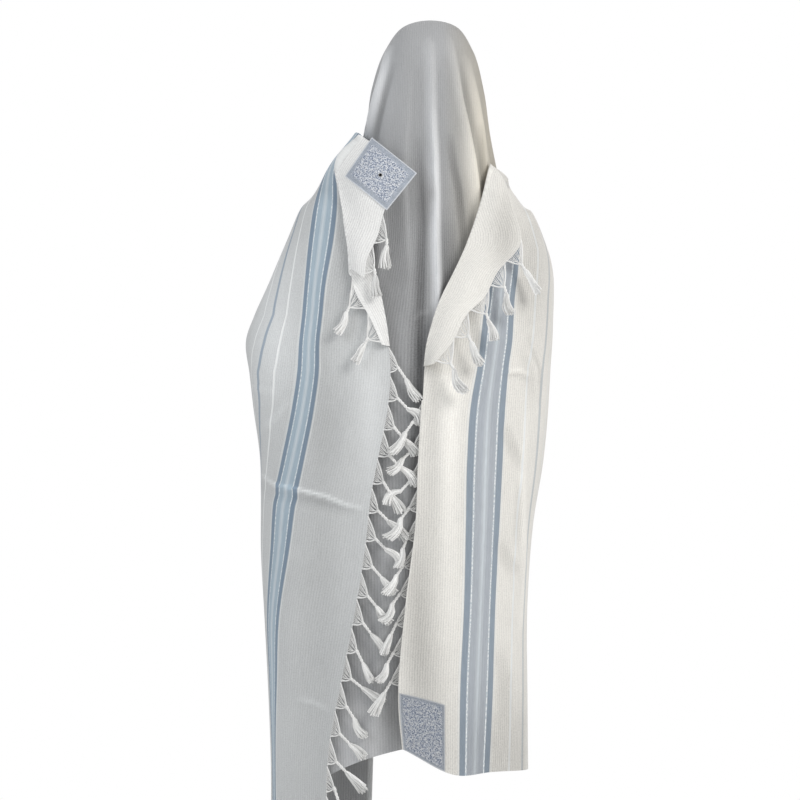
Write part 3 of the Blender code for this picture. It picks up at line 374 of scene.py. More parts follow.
# Where the cloth as a whole is painted lighter or darker, as painted light and shade: how much, the middle of the
# place, and its reach.
# painted_light_amount, x, z, reach_x, reach_z
MIDDLE_PAINTED_SHADING = (
    (0.16, 9.0, -16.0, 3.0, 14.0),
    (0.10, 0.0, -3.0, 9.0, 5.0),
    (0.30, -7.2, -11.0, 2.4, 11.0),
    (-0.12, -3.0, -46.0, 4.0, 12.0),
    (-0.35, -2.2, -58.0, 1.6, 12.0),
    (0.22, -4.0, -88.0, 7.0, 20.0),
    (0.50, -13.5, -121.0, 5.5, 8.0),
    (-0.10, -5.6, -115.0, 1.6, 8.0),
)
LEFT_PAINTED_SHADING = (
    (0.12, -25.5, -44.0, 5.5, 24.0),
    (-0.13, -14.4, -40.0, 1.8, 9.0),
    (0.20, -26.0, -54.0, 4.0, 9.0),
    (0.20, -9.6, -62.0, 2.4, 16.0),
    (-0.12, -18.0, -60.0, 2.4, 26.0),
    (-0.06, -18.0, -100.0, 6.0, 34.0),
    (0.08, -26.0, -112.0, 4.0, 26.0),
)
RIGHT_PAINTED_SHADING = (
    (-0.26, 12.0, -121.0, 9.0, 10.0),
    (-0.22, 17.0, -40.0, 3.4, 12.0),
    (-0.12, 0.6, -62.0, 1.4, 26.0),
    (-0.30, -2.0, -100.0, 2.4, 17.0),
    (-0.12, 0.6, -112.0, 2.4, 14.0),
    (0.14, 3.4, -70.0, 1.8, 26.0),
)
LAPEL_PAINTED_SHADING = (
    (-0.26, 12.4, -35.0, 2.6, 7.0),
    (0.06, 6.0, -48.0, 4.0, 8.0),
)

# Corners of the patch that shows most: on the fold, at the cloth's corner, down the fringe, and back on the fold.
HIGH_PATCH = ((-9.5, -19.3), (-2.15, -25.2), (-7.1, -31.3), (-13.9, -25.7))
EYELET = (0.27, 0.37)  # radii of the hole and of its stitching
EYELET_STITCHES, STITCH, HOLE_SIDES = 22, 0.035, 14
# The other patches lie in the rows of the cloth beneath: their runs, their reach across in guides, and how much
# lower the far end of the top edge is.
LEFT_LOW, RIGHT_LOW, RIGHT_HIGH = ((125.8, 135.0), 0.8, 0), ((94.4, 105.0), 0.74, 2.0), ((0, 8.0), 1.2, 0)
HIGH_PATCH_SHADE, HIGH_BORDER = 1.0, 0.8  # factor of painted shade on its tone (none here), and width of the border
LOW_PATCH_SHADE, LOW_BORDER = 0.72, 0.42  # the low patches are painted darker, as shade low on the cloth, with a narrower border

# Colours.
# One white wool in painted tones: painted shade makes the middle grey and the left flap cool grey, painted light makes
# the turned corner and the right flap bright
OUTER_SHADED_TONE = ink(173, 174, 176)
OUTER_PAINTED_WARM_LIGHT = ink(182, 177, 166)  # painted warm light on the hood's right side
LEFT_SHADED_TONE = ink(211, 213, 214)
TURNED_LIT_TONE = ink(250, 250, 249)  # painted light: the left corner and pleat, turned to the light, in a brighter copy of the wool
RIGHT_LIT_TONE = ink(243, 241, 236)
PALE_BLUE = ink(176, 193, 206)
MID_WHITE = ink(203, 214, 222)
SLATE_BLUE = ink(138, 155, 173)
RIGHT_BAND = ink(180, 186, 194), ink(196, 202, 208), ink(152, 164, 177)  # its dye, its middle and its sides
PALE_THREAD = ink(216, 224, 230)
SATIN_WHITE = ink(240, 242, 242)
FIELD_BLUE = ink(182, 190, 205)
FLECK_BLUE = ink(116, 126, 148)
BORDER_BLUE = ink(150, 158, 169)
MOTIF_WHITE = ink(238, 241, 246)
THREAD_WHITE = ink(253, 253, 252)

# The stretches of the one woven rectangle: the solids that each stands for, its cut in metres, the area of that
# where it isn't a rectangle, and what is sewn on.
STRETCHES = {
    "shawl_middle": (("hood", "back", "left_side", "right_side"), (0.90, 1.36), None, ()),
    "left_wrap": (("left_flap", "left_front"), (0.48, 1.35), None, ("fringe_left_threads", "left_low_patch")),
    "left_pleat_cloth": (("left_pleat",), (0.045, 0.23), None, ("fringe_left_pleat_threads",)),
    "left_corner_cloth": (
        ("left_corner",), (0.13, 0.20), None, ("fringe_left_corner_threads", "left_high_patch", "eyelet_stitches"),
    ),
    "right_wrap": (("right_flap", "right_front"), (0.46, 1.05), None, ("right_low_patch",)),
    "right_lapel_cloth": (
        ("right_lapel",), (0.09, 0.41), 0.0225, ("fringe_right_lapel_threads", "right_high_patch"),
    ),
    "right_tuck_cloth": (("right_tuck",), (0.032, 0.59), None, ("fringe_right_tuck_threads",)),
}

# Stage: the wearer would stand on the floor. The camera looks at the back, level.
FLOOR_Z, FLOOR_SIZE = -1.75, 9.0
FRAME_X, FRAME_Z, FRAME_WIDTH = -0.0495, -0.6237, 1.32
CAMERA_DISTANCE = 24.0
ROOM_COLOUR = (1.0, 1.0, 1.0, 1.0)
ROOM_LIGHT = 0.46  # the light the room gives the cloth
ROOM_SHOWN = 1.0  # the room as it is seen
LIGHTS = (
    ("key", (2.4, -2.4, 1.5), (0, 0, -0.5), 2.0, 79, (1.0, 0.985, 0.96)),
    ("fill", (-2.6, -2.0, 1.2), (0, 0, -0.6), 2.0, 34, (0.94, 0.975, 1.0)),
    ("front", (-0.6, 3.6, 0.8), (0, 0, -0.7), 2.0, 50, (1.0, 1.0, 1.0)),
)


# ---- form ----


def smooth(stops, values, at):
    """Values read at some places from a smooth curve through the given stops."""
    stops = np.asarray(stops, float)
    values = np.asarray(values, float)
    at = np.asarray(at, float)
    gaps = np.diff(stops)
    slopes = np.diff(values, axis=0) / gaps[:, None]
    share = (gaps[1:] / (gaps[:-1] + gaps[1:]))[:, None]
    middle = slopes[:-1] * share + slopes[1:] * (1 - share)
    tangents = np.vstack([slopes[:1], middle, slopes[-1:]])
    cell = np.clip(np.searchsorted(stops, at, side="right") - 1, 0, len(gaps) - 1)
    width = gaps[cell][:, None]
    part = (at - stops[cell])[:, None] / width
    start = (2 * part**3 - 3 * part**2 + 1) * values[cell]
    leave = (part**3 - 2 * part**2 + part) * width * tangents[cell]
    end = (3 * part**2 - 2 * part**3) * values[cell + 1]
    arrive = (part**3 - part**2) * width * tangents[cell + 1]
    return start + leave + end + arrive


def unit(vector):
    return vector / np.maximum(np.linalg.norm(vector, axis=-1, keepdims=True), TINY)


def normals(points):
    """Unit normals of a grid, along rows x down."""
    return unit(np.cross(np.gradient(points, axis=1), np.gradient(points, axis=0)))


def cumulative(points):
    """Distance along a line of points, from its first."""
    return np.concatenate([[0], np.cumsum(np.linalg.norm(np.diff(points, axis=0), axis=1))])


def across_rows(points):
    """Distance of each point of a grid from the first column."""
    return np.array([cumulative(row) for row in points])


def stops_of(table):
    """The first number of each row of a table, its run."""
    return [row[0] for row in table]


def at_runs(values, runs, wanted):
    """Rows of values, of which there is one for each run, read at other runs."""
    return np.column_stack([np.interp(wanted, runs, column) for column in values.T])


def outline_at(z):
    """The cloth's outline at a height: its middle, half its width, and its back, widest and front depths."""
    levels = np.array(OUTLINE)
    left, right, *depths = smooth(-levels[:, 0], levels[:, 1:], [-z])[0]
    return (left + right) / 2, (right - left) / 2, *depths


def outline_depth(x, z, front=False):
    """Depth of the outline over x, at the back or the front."""
    middle, half, back, widest, ahead = outline_at(z)
    share = min(abs(x - middle) / half, OUTLINE_EDGE)
    rise = (1 - share**SQUARENESS) ** (1 / SQUARENESS)
    return widest + ((ahead if front else back) - widest) * rise


def fold_point(side, z, inset=0.0):
    """Where the cloth folds in front of an arm."""
    x = side * FRONT_X - FRONT_DRIFT * max((DRIFT_FROM - z) / DRIFT_SPAN, 0)
    return np.array([x, outline_depth(x, z, True) - inset, z])


def lower_row(side, spine, fold):
    """A row round one half of the body: its guides at even steps from the spine to the front fold."""
    power = 2 / SQUARENESS
    middle, half = outline_at(spine)[:2]
    half -= LAYER + LOOSE
    first = math.asin(math.copysign(abs(middle / half) ** (1 / power), -middle * side))
    far = (fold_point(side, fold)[0] - middle) * side / half
    last = math.pi - math.asin(math.copysign(abs(far) ** (1 / power), far))
    levels = spine + (fold - spine) * np.linspace(0, 1, RING_STEPS) ** HEM_BEND
    ring = []
    for turn, z in zip(np.linspace(first, last, RING_STEPS), levels):
        middle, half, back, widest, ahead = outline_at(z)
        across = math.copysign(abs(math.sin(turn)) ** power, math.sin(turn)) * (half - LAYER - LOOSE)
        reach = back + LAYER - widest if math.cos(turn) > 0 else ahead - LAYER - widest
        ring.append((middle + side * across, widest + reach * abs(math.cos(turn)) ** power, z))
    ring = np.array(ring)
    ring[0, 0] = 0.0
    along = cumulative(ring)
    row = at_runs(ring, along, np.linspace(0, along[-1], len(HOOD[0]) + 1))
    row[-1] = fold_point(side, fold, LAYER)
    return row


def hood_row(side, row, fold_z):
    """A row over the head and one shoulder, out to the front fold."""
    points = np.array(row, float)
    if side < 0:
        points[:, 0] *= np.array(LEFT_WIDER)
    points[:, 0] *= side
    front = points[-1]
    front[1] = outline_depth(front[0], front[2], True) - LAYER
    return np.vstack([points, fold_point(side, fold_z, LAYER)])


def half_rows(side):
    """All rows of the cloth on one side of the spine."""
    over = [hood_row(side, row, z) for row, z in zip(HOOD, HOOD_FOLD_Z)]
    return np.array(over + [lower_row(side, spine, left if side < 0 else right) for _, spine, left, right in LOWER])


def grid_between(rows, stops, row_places, guide_places):
    """A grid read from rows of guides: first down each guide, then along each row."""
    down = smooth(stops, rows.reshape(len(rows), -1), row_places)
    down = down.reshape(len(row_places), rows.shape[1], 3)
    order = np.arange(rows.shape[1])
    grid = []
    for row in down:
        along = cumulative(row)
        grid.append(smooth(along, row, np.interp(guide_places, order, along)))
    return np.array(grid)


def lifted(x, z, lift):
    """A point on the outline, moved off the cloth by the lift: backwards, and upwards over the shoulder."""
    tilt = min(max((z - TILT_FROM) / TILT_SPAN, 0), 1) * TILT
    return np.array([x, outline_depth(x, z) - lift * math.cos(tilt), z + lift * math.sin(tilt)])


def tuck_stand(run):
    """How far the right flap's inner edge stands off the back at a run."""
    return TUCK_STAND * min(max((run - TUCK_FROM) / TUCK_SPAN, 0), 1)


def ridge_lift(run):
    """How much farther apart the layers are at a run, from the shoulder's ridge down."""
    return RIDGE_LIFT * max(0.0, 1 - run / RIDGE_RUN)


def flap_rows(side, table):
    """Rows of a flap: inner edge, stripe band, round the arm, and the turn of the front fold."""
    rows = []
    fold_stops, fold_heights = zip(*FOLD_LINES[side])
    for run, edge_x, edge_z, in_x, in_z, out_x, out_z, out_y, side_x, side_z, side_y in table:
        fold_z = smooth(fold_stops, np.array(fold_heights)[:, None], [run])[0, 0]
        stand = tuck_stand(run) if side > 0 else -ridge_lift(run)
        edge = lifted(edge_x, edge_z, stand)
        near = lifted(in_x, in_z, stand / 2)
        far = lifted(out_x, out_z, 0.0)
        flank = np.array([side_x, side_y, side_z])
        if out_y is None:
            round_x = side_x + (out_x - side_x) * ROUND_ARM
            round_z = (out_z + side_z) / 2
            between = np.array([round_x, outline_depth(round_x, round_z), round_z])
        else:
            far[1] = out_y
            between = (far + flank) / 2
        fold = fold_point(side, fold_z)
        ahead = []
        for across, down in AHEAD:
            x = side_x + (fold[0] - side_x) * across
            z = side_z + (fold_z - side_z) * down
            ahead.append((x, outline_depth(x, z, True), z))
        end = fold - np.array([0, LAYER + THIN, 0])
        tip = (fold + end) / 2 - np.array([side * FOLD_REACH, 0, 0])
        turned = end - np.array([side * FOLD_REACH * FOLD_RETURN, 0, 0])
        rows.append([edge, near, far, between, flank, *ahead, fold, tip, turned, end])
    return np.array(rows)


def leg_rows(table, fold_lift, free_lift):
    """Rows of a leg of a pleat, from its free or fringed side to the fold that it shares."""
    rows = []
    for run, free_x, free_z, fold_x, fold_z in table:
        more = ridge_lift(run)
        bulge = fold_lift + (free_lift - fold_lift) * LEG_BULGE + more
        middle = lifted((free_x + fold_x) / 2, (free_z + fold_z) / 2, bulge)
        rows.append([lifted(free_x, free_z, free_lift + more), middle, lifted(fold_x, fold_z, fold_lift + more)])
    return np.array(rows)


def tuck_rows(table, panel):
    """Rows of the turned-in edge, from the fold that it shares with the flap to its fringed edge."""
    rows = []
    for run, across, deep in table:
        x, z = smooth(stops_of(panel), [row[1:3] for row in panel], [run])[0]
        fold = lifted(x, z, tuck_stand(run)) + np.array([0, WALL + SEAM, 0])
        rows.append([fold, fold + (across, deep * TUCK_BULGE, 0), fold + (0, deep, 0)])
    return np.array(rows)


# ---- cloth ----


def meshed(name, verts, faces, uv, painted_shading, finish):
    """A piece from its points, their places in the cut and their painted light and shade, smooth but for its rims."""
    data = bpy.data.meshes.new(name)
    data.from_pydata((np.array(verts) * CM).tolist(), [], faces)
    corners = [vert for face in faces for vert in face]
    layer = data.uv_layers.new(name="cut")
    layer.data.foreach_set("uv", (np.array(uv) * CM)[corners].reshape(-1))
    if painted_shading is not None:
        shades = data.attributes.new("painted_shading", "FLOAT", "POINT")
        shades.data.foreach_set("value", np.array(painted_shading))
    data.materials.append(finish)
    data.update()
    made = bpy.data.objects.new(name, data)
    bpy.context.scene.collection.objects.link(made)
    bpy.ops.object.select_all(action="DESELECT")
    made.select_set(True)
    bpy.context.view_layer.objects.active = made
    bpy.ops.object.shade_smooth_by_angle(angle=RIM_ANGLE)
    return made


def dressed(piece, slot, *nodes):
    """The piece rides on the shawl's one body and stands for its solids."""
    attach(piece, "root")
    if nodes:
        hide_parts(*nodes)
    return piece


def shell(name, points, outward, uv, thickness, finish, painted_shading=None):
    """A closed sheet: the grid is its visible face, and its other face lies a thickness inside it."""
    rows, columns = points.shape[:2]
    count = rows * columns
    index = np.arange(count).reshape(rows, columns)
    quads = np.stack([index[:-1, :-1], index[:-1, 1:], index[1:, 1:], index[1:, :-1]], axis=2).reshape(-1, 4)
    rim = np.concatenate([index[0, :-1], index[:-1, -1], index[-1, :0:-1], index[:0:-1, 0]])
    after = np.roll(rim, -1)
    sides = np.stack([after, rim, rim + count, after + count], axis=1)
    faces = np.concatenate([quads, quads[:, ::-1] + count, sides])
    if (normals(points) * outward).sum() < 0:
        faces = faces[:, ::-1]
    verts = np.concatenate([points.reshape(-1, 3), (points - outward * thickness).reshape(-1, 3)])
    if painted_shading is not None:
        painted_shading = np.tile(painted_shading.reshape(-1), 2)
    return meshed(name, verts, faces.tolist(), np.tile(uv.reshape(-1, 2), (2, 1)), painted_shading, finish)


def crease_lift(points, creases):
    """How far creases lift or press each point of a grid, and how much painted light and shade lies there."""
    places = points[..., [0, 2]]
    total, painted_shading = np.zeros(points.shape[:2]), np.zeros(points.shape[:2])
    for height, painted_light_amount, left, right, *line in creases:
        line = np.array(line, float)
        nearest = np.full(points.shape[:2], np.inf)
        fade, width = np.zeros(points.shape[:2]), np.ones(points.shape[:2])
        lengths = cumulative(line)
        for i, (start, end) in enumerate(zip(line, line[1:])):
            step = end - start
            off = places - start
            part = np.clip((off @ step) / (step @ step), 0, 1)
            gap = np.linalg.norm(off - part[..., None] * step, axis=-1)
            share = (lengths[i] + part * (lengths[i + 1] - lengths[i])) / lengths[-1]
            swell = np.sin(np.pi * np.clip(share * (1 - 2 * CREASE_END) + CREASE_END, 0, 1)) ** CREASE_SWELL
            turned = step[0] * off[..., 1] - step[1] * off[..., 0]
            fade = np.where(gap < nearest, swell, fade)
            width = np.where(gap < nearest, np.where(turned > 0, right, left), width)
            nearest = np.minimum(nearest, gap)
        total += height * fade * np.exp(-((nearest / width) ** 2))
        painted_shading += painted_light_amount * fade * np.exp(-((nearest / width / PAINTED_SHADING_WIDER) ** 4))
    return total, painted_shading


def creased(points, outward, creases, facing=-1):
    """The grid with its creases, where it faces the back or the front, and the painted light and shade that they bring.
    """
    faced = outward[..., 1] * facing * FACED
    lift, painted_shading = crease_lift(points, creases)
    return points + outward * (lift * np.clip(faced, 0, 1))[..., None], painted_shading * np.clip(faced + PAINTED_SHADING_FACED, 0, 1)


def painted_shading_places(points, outward, places):
    """How much painted light and shade each point of a grid gets for lying in some broad places on its back."""
    total = np.zeros(points.shape[:2])
    for painted_light_amount, x, z, reach_x, reach_z in places:
        gap = ((points[..., 0] - x) / reach_x) ** 2 + ((points[..., 2] - z) / reach_z) ** 2
        total += painted_light_amount * np.exp(-gap)
    return total * np.clip(-outward[..., 1] * FACED, 0, 1)


def fine_places(rows, spacing):
    """Guide places that part a grid into columns of about one width, or of one for each guide."""
    widths = np.linalg.norm(np.diff(rows, axis=1), axis=2).mean(axis=0)
    places = [0.0]
    for guide, parts in enumerate(np.maximum(2, np.ceil(widths / spacing)).astype(int)):
        places += [guide + (i + 1) / parts for i in range(parts)]
    return np.array(places)


def fine_runs(first, last, spacing):
    return np.linspace(first, last, math.ceil((last - first) / spacing) + 1)


class Stretch:
    """A fine grid on a stretch of the cloth, with its outward normals, runs and distances from the fringed edge."""

    def __init__(self, points, outward, runs, across=None, painted_shading=None):
        self.points, self.outward, self.runs, self.across, self.painted_shading = points, outward, runs, across, painted_shading

    def drape(self, creases, places):
        """Puts in the creases on the back and in front, and paints light and shade along them and in some places."""
        self.points, painted_shading = creased(self.points, self.outward, creases)
        self.points, front_painted_shading = creased(self.points, self.outward, FRONT_CREASES, 1)
        self.painted_shading = painted_shading + (front_painted_shading + painted_shading_places(self.points, self.outward, places))
        found = normals(self.points)
        self.outward = found * np.sign((found * self.outward).sum())

    def underside(self, runs):
        """The first column's line on the cloth's other face, read at some runs."""
        return at_runs(self.points[:, 0] - self.outward[:, 0] * THIN, self.runs, runs)

    def rolled(self, meets, column=-1):
        """The same stretch with its fold turned round at one side until it meets the given line."""
        here = self.points[:, column]
        away = here - self.points[:, beside(column)]
        gap = here - meets
        square = np.maximum((gap * gap).sum(1, keepdims=True), TINY)
        away = unit(away - gap * ((away * gap).sum(1, keepdims=True) / square))
        centre, reach = (here + meets) / 2, np.sqrt(square) / 2
        turns = np.linspace(0, math.pi, ROLL_STEPS + 1)[1:]
        faces = np.stack([unit(gap) * math.cos(turn) + away * math.sin(turn) for turn in turns], axis=1)
        turned = centre[:, None] + faces * reach[:, None]
        sheet = np.repeat(self.across[:, [column]], ROLL_STEPS, axis=1)
        grids = (self.points, turned), (self.outward, faces), (self.across, sheet)
        if column:
            grids = [np.concatenate([grid, more], axis=1) for grid, more in grids]
        else:
            grids = [np.concatenate([more[:, ::-1], grid], axis=1) for grid, more in grids]
        return Stretch(grids[0], grids[1], self.runs, grids[2])

    def piece(self, name, finish):
        """The stretch as a piece in place of its solids."""
        uv = np.dstack(np.broadcast_arrays(self.across, self.runs[:, None]))
        made = shell(name, self.points, self.outward, uv, THIN, finish, self.painted_shading)
        return dressed(made, "woven_cloth", *STRETCHES[name][0])


def beside(column):
    """The column next to the first or the last one."""
    return column - 1 if column else 1


def stretch_from(rows, stops, places, sign, spacing=SPACING):
    """A stretch read finely from rows of guides at some stops."""
    runs = fine_runs(stops[0], stops[-1], spacing)
    points = grid_between(rows, stops, runs, places)
    return Stretch(points, normals(points) * sign, runs)


def flap_warp(side, rows, runs):
    """Distance from the fringed edge at each guide of a flap, by its bands and the lengths between them."""
    widths = np.linalg.norm(np.diff(rows, axis=1), axis=2)
    found = np.zeros(rows.shape[:2])
    found[:, 0] = np.maximum(BAND[0] - widths[:, 0], EDGE_WARP)
    found[:, 1:3] = BAND
    for guide in range(3, rows.shape[1]):
        found[:, guide] = found[:, guide - 1] + widths[:, guide - 1]
    if side > 0:
        found[:, 1:] += np.interp(runs, *UNDER_LAPEL)[:, None]
        found[0, 0] += UNDER_LAPEL[1][0]
    else:
        found[:, 3:] += np.interp(runs, *AT_ELBOW)[:, None]
    return found


def flap_stretch(side, table):
    """A flap, from its fringed edge to the front fold."""
    stops = stops_of(table)
    rows = flap_rows(side, table)
    places = fine_places(rows, SPACING)
    flap = stretch_from(rows, stops, places, -side)
    across = at_runs(flap_warp(side, rows, stops), stops, flap.runs)
    flap.across = at_runs(across.T, np.arange(rows.shape[1]), places).T
    return flap


# ---- fringe ----


class Threads:
    """Gathers thin threads into one mesh, with the distance along each as its UV."""

    def __init__(self):
        self.verts, self.faces, self.uv, self.painted_shading = [], [], [], []

    def add(self, line, radius, sides, painted_shading=0.0):
        line = np.asarray(line, float)
        radius = np.broadcast_to(radius, len(line))
        heading = unit(np.gradient(line, axis=0))
        aside = unit(np.cross(heading, UNLIKE_ANY))
        other = np.cross(heading, aside)
        turns = 2 * math.pi * np.arange(sides)[:, None] / sides
        spokes = aside[:, None] * np.cos(turns) + other[:, None] * np.sin(turns)
        first = len(self.verts)
        self.verts += list((line[:, None] + spokes * radius[:, None, None]).reshape(-1, 3))
        self.uv += [(side / sides, far) for far in cumulative(line) for side in range(sides)]
        self.painted_shading += [painted_shading] * (len(line) * sides)
        for ring in range(first, first + (len(line) - 1) * sides, sides):
            for side in range(sides):
                a, b = ring + side, ring + (side + 1) % sides
                self.faces.append((a, b, b + sides, a + sides))
        last = len(self.verts) - sides
        self.faces += [tuple(range(first, first + sides))[::-1], tuple(range(last, last + sides))]

    def made(self, name, finish):
        return meshed(name, self.verts, self.faces, self.uv, self.painted_shading, finish)


def curve(points, steps):
    """A smooth line through a few points."""
    points = np.array(points, float)
    along = cumulative(points)
    return smooth(along, points, np.linspace(0, along[-1], steps))


def circle(side, through, turns):
    """Directions at some turns from one side towards another."""
    return side * np.cos(turns)[:, None] + through * np.sin(turns)[:, None]


def twisted(threads, start, end, side, through, turns):
    """The neck: two cords wound round each other, a little longer than it at both ends."""
    shares = np.linspace(-NECK_OVER, 1 + NECK_OVER, NECK_STEPS)[:, None]
    for ply in (0, math.pi):
        wind = np.linspace(0, turns * 2 * math.pi, NECK_STEPS) + ply
        line = start + (end - start) * shares + circle(side, through, wind) * NECK_CORD * CORD_OUT
        threads.add(line, NECK_CORD, CORD_SIDES)


def wound(threads, centre, axis, side, through, radius):
    """A knot: a few tilted turns of cord on a small ball."""
    for turn in range(KNOT_TURNS):
        wind = np.linspace(0, 2 * math.pi, KNOT_STEPS) + turn * KNOT_SHIFT
        along = (turn / (KNOT_TURNS - 1) * 2 - 1) * KNOT_LENGTH
        wide = radius * math.sqrt(1 - along**2 * KNOT_ROUND)
        tilt = axis * (radius * (along + KNOT_TILT * np.sin(wind + KNOT_LEAN * turn)))[:, None]
        threads.add(centre + tilt + circle(side, through, wind) * wide * CORD_OUT, radius * KNOT_CORD, CORD_SIDES)


def webbed(threads, chance, roots, knot, slope, through, side):
    """Warp ends drawn from the edge to a knot, by threes, between two thicker cords."""
    shares = np.linspace(-1, 1, ROOTS)
    for index, (root, share) in enumerate(zip(roots, shares)):
        above = root - slope * WEB_TOP
        sag = slope * WEB_SAG * (1 - share**2) + through * 0.1
        if index in (0, ROOTS - 1):
            bend = root * 0.5 + knot * 0.5 + sag - side * share * 0.12
            threads.add(curve((above, bend, knot), CURVE_STEPS), SIDE_CORD, CORD_SIDES)
            continue
        centre = at_runs(roots, shares, [round(share * 2) / 2])[0]
        meet = centre * (1 - GATHER) + knot * GATHER + sag + through * 0.05 * math.sin(index * GOLDEN_TURN)
        bend = root * 0.55 + meet * 0.45 + sag * 0.5 + side * chance.normal(0, 0.03)
        threads.add(curve((above, bend, meet, knot + side * share * 0.1), END_STEPS), END_THREAD, END_SIDES)


def tailed(threads, chance, start, lean, through, length):
    """A loose tail that widens to a blunt end."""
    spread = unit(np.cross(through, lean))
    bend = chance.normal(0, TAIL_BEND)
    flare = TAIL_FLARE * chance.uniform(*FLARES)
    for index in range(STRANDS + STRAY):
        stray = index >= STRANDS
        turn = index * GOLDEN_TURN
        out = math.sqrt((index % STRANDS + 0.5) / STRANDS) * (STRAY_OUT if stray else 1.0)
        wide, deep = out * math.cos(turn), out * math.sin(turn)
        reach = length * chance.uniform(*STRAND_LENGTHS) * (1.0 - 0.08 * wide**2)
        first = start + spread * wide * 0.16 + through * deep * 0.14
        wave = chance.normal(0, 0.06, 3)
        line = [first - lean * 0.15]
        for part in TAIL_PARTS:
            widen = TAIL_ROOT[0] + (flare - TAIL_ROOT[0]) * part**0.8
            thick = TAIL_ROOT[1] + (TAIL_DEPTH - TAIL_ROOT[1]) * part
            sway = bend * math.sin(math.pi * part * 0.9) + wave[0] * math.sin(7 * part + turn)
            point = start + lean * reach * part + spread * (wide * widen + sway)
            line.append(point + through * (deep * thick + wave[1] * part))
        radius = STRAND * (STRAY_THIN if stray else 1.0) * np.linspace(*STRAND_TAPER, CURVE_STEPS)
        # painted shade between the strands, given as a random tone for each
        shade = chance.choice(STRAND_SHADES) * (0.6 + 0.4 * out)
        threads.add(curve(line, CURVE_STEPS), radius, STRAY_SIDES if stray else END_SIDES, shade)


def knotted(threads, chance, roots, knot, slope, lean, through, neck, length):
    """One tassel: a web of warp ends, a knot, a twisted neck and a loose tail."""
    webbed(threads, chance, roots, knot, slope, through, unit(np.cross(through, slope)))
    axis = unit(slope + lean)
    across = unit(np.cross(through, axis))
    wound(threads, knot, axis, across, through, KNOT_RADIUS * chance.uniform(*KNOT_SIZES))
    end = knot + unit(lean * 0.8 + axis * 0.2) * neck
    twisted(threads, knot, end, across, through, neck * NECK_TWIST)
    tailed(threads, chance, end, lean, through, length)


def fringe(name, stretch, free, finish, column=0):
    """The fringe of a stretch, along the free part of its first or last column, in place of its solid."""
    edge, outward = stretch.points[free, column], stretch.outward[free, column]
    away = unit(edge - stretch.points[free, beside(column)])
    heading = unit(np.gradient(edge, axis=0))
    away = unit(away - heading * (away * heading).sum(axis=1, keepdims=True))
    along = cumulative(edge)
    neck, tail, on_flap, leans = FRINGES[name]
    count = max(1, int(along[-1] // TASSEL_STEP))
    pitch = along[-1] / count
    leans = np.array(leans)
    threads = Threads()
    chance = np.random.default_rng(len(name) * 7 + count)
    for index in range(count):
        at = (index + 0.5) * pitch + chance.normal(0, 0.12)
        lean = at_runs(leans[:, 1:], leans[:, 0], [at / along[-1]])[0]
        lean = unit(lean + chance.normal(0, 0.16, 3) * (1, 0.15, 0.5))
        spots = np.linspace(at - pitch * WEB_SIDES[0], at + pitch * WEB_SIDES[1], ROOTS)
        roots = at_runs(edge, along, spots) + at_runs(away, along, spots) * 0.02
        centre, off, face = (at_runs(line, along, [at])[0] for line in (edge, away, outward))
        off, face = unit(off), unit(face)
        aside = off if on_flap else unit(off * (1, 0, 1))
        slope = aside * WEB_SLOPE[0] + np.array([0, 0, -WEB_SLOPE[1]])
        knot = centre + off * 0.25 + slope * WEB_LENGTH * chance.uniform(*WEB_LENGTHS)
        own_tail = tail * chance.uniform(*TAIL_LENGTHS)
        if on_flap:
            tip = knot + lean * (own_tail + neck)
            room = outline_depth(tip[0], tip[2]) - TAIL_CLEAR - tip[1]
            lean = unit(lean + np.array([0, min(room, 0) / own_tail, 0]))
        knotted(threads, chance, roots - face * WALL / 2, knot, unit(slope), lean, face, neck, own_tail)
    dressed(threads.made(name + "_threads", finish), "fringe_thread", name)


# ---- finishes ----


class Shade:
    """A number that varies over a surface. Operators on it add Math nodes to its finish."""

    def __init__(self, finish, socket):
        self.finish = finish
        self.socket = socket

    def math(self, operation, *values, clamp=False):
        settings = {"operation": operation, "use_clamp": clamp}
        return self.finish.node("ShaderNodeMath", settings, dict(enumerate(values)))

    def __add__(self, other):
        return self.math("ADD", self, other)

    def __sub__(self, other):
        return self.math("SUBTRACT", self, other)

    def __rsub__(self, other):
        return self.math("SUBTRACT", other, self)

    def __mul__(self, other):
        return self.math("MULTIPLY", self, other)

    __radd__ = __add__
    __rmul__ = __mul__

    def sine(self):
        return self.math("SINE", self)

    def size(self):
        return self.math("ABSOLUTE", self)

    def least(self, other):
        return self.math("MINIMUM", self, other)

    def most(self, other):
        return self.math("MAXIMUM", self, other)

    def ramp(self, low, high):
        """Nothing at the low value and beyond, one at the high one and beyond."""
        return self.math("MULTIPLY", self - low, 1 / (high - low), clamp=True)

    def band(self, low, high, soft):
        """One between two values, with soft edges."""
        return self.ramp(low - soft / 2, low + soft / 2) * self.ramp(high + soft / 2, high - soft / 2)

    def between(self, low, high):
        """The same variation, from nothing and one moved to two other values."""
        return self * (high - low) + low

    def waves(self, pitch):
        """A wave between nothing and one, once for every pitch."""
        return (self * (2 * math.pi / pitch)).sine() * 0.5 + 0.5


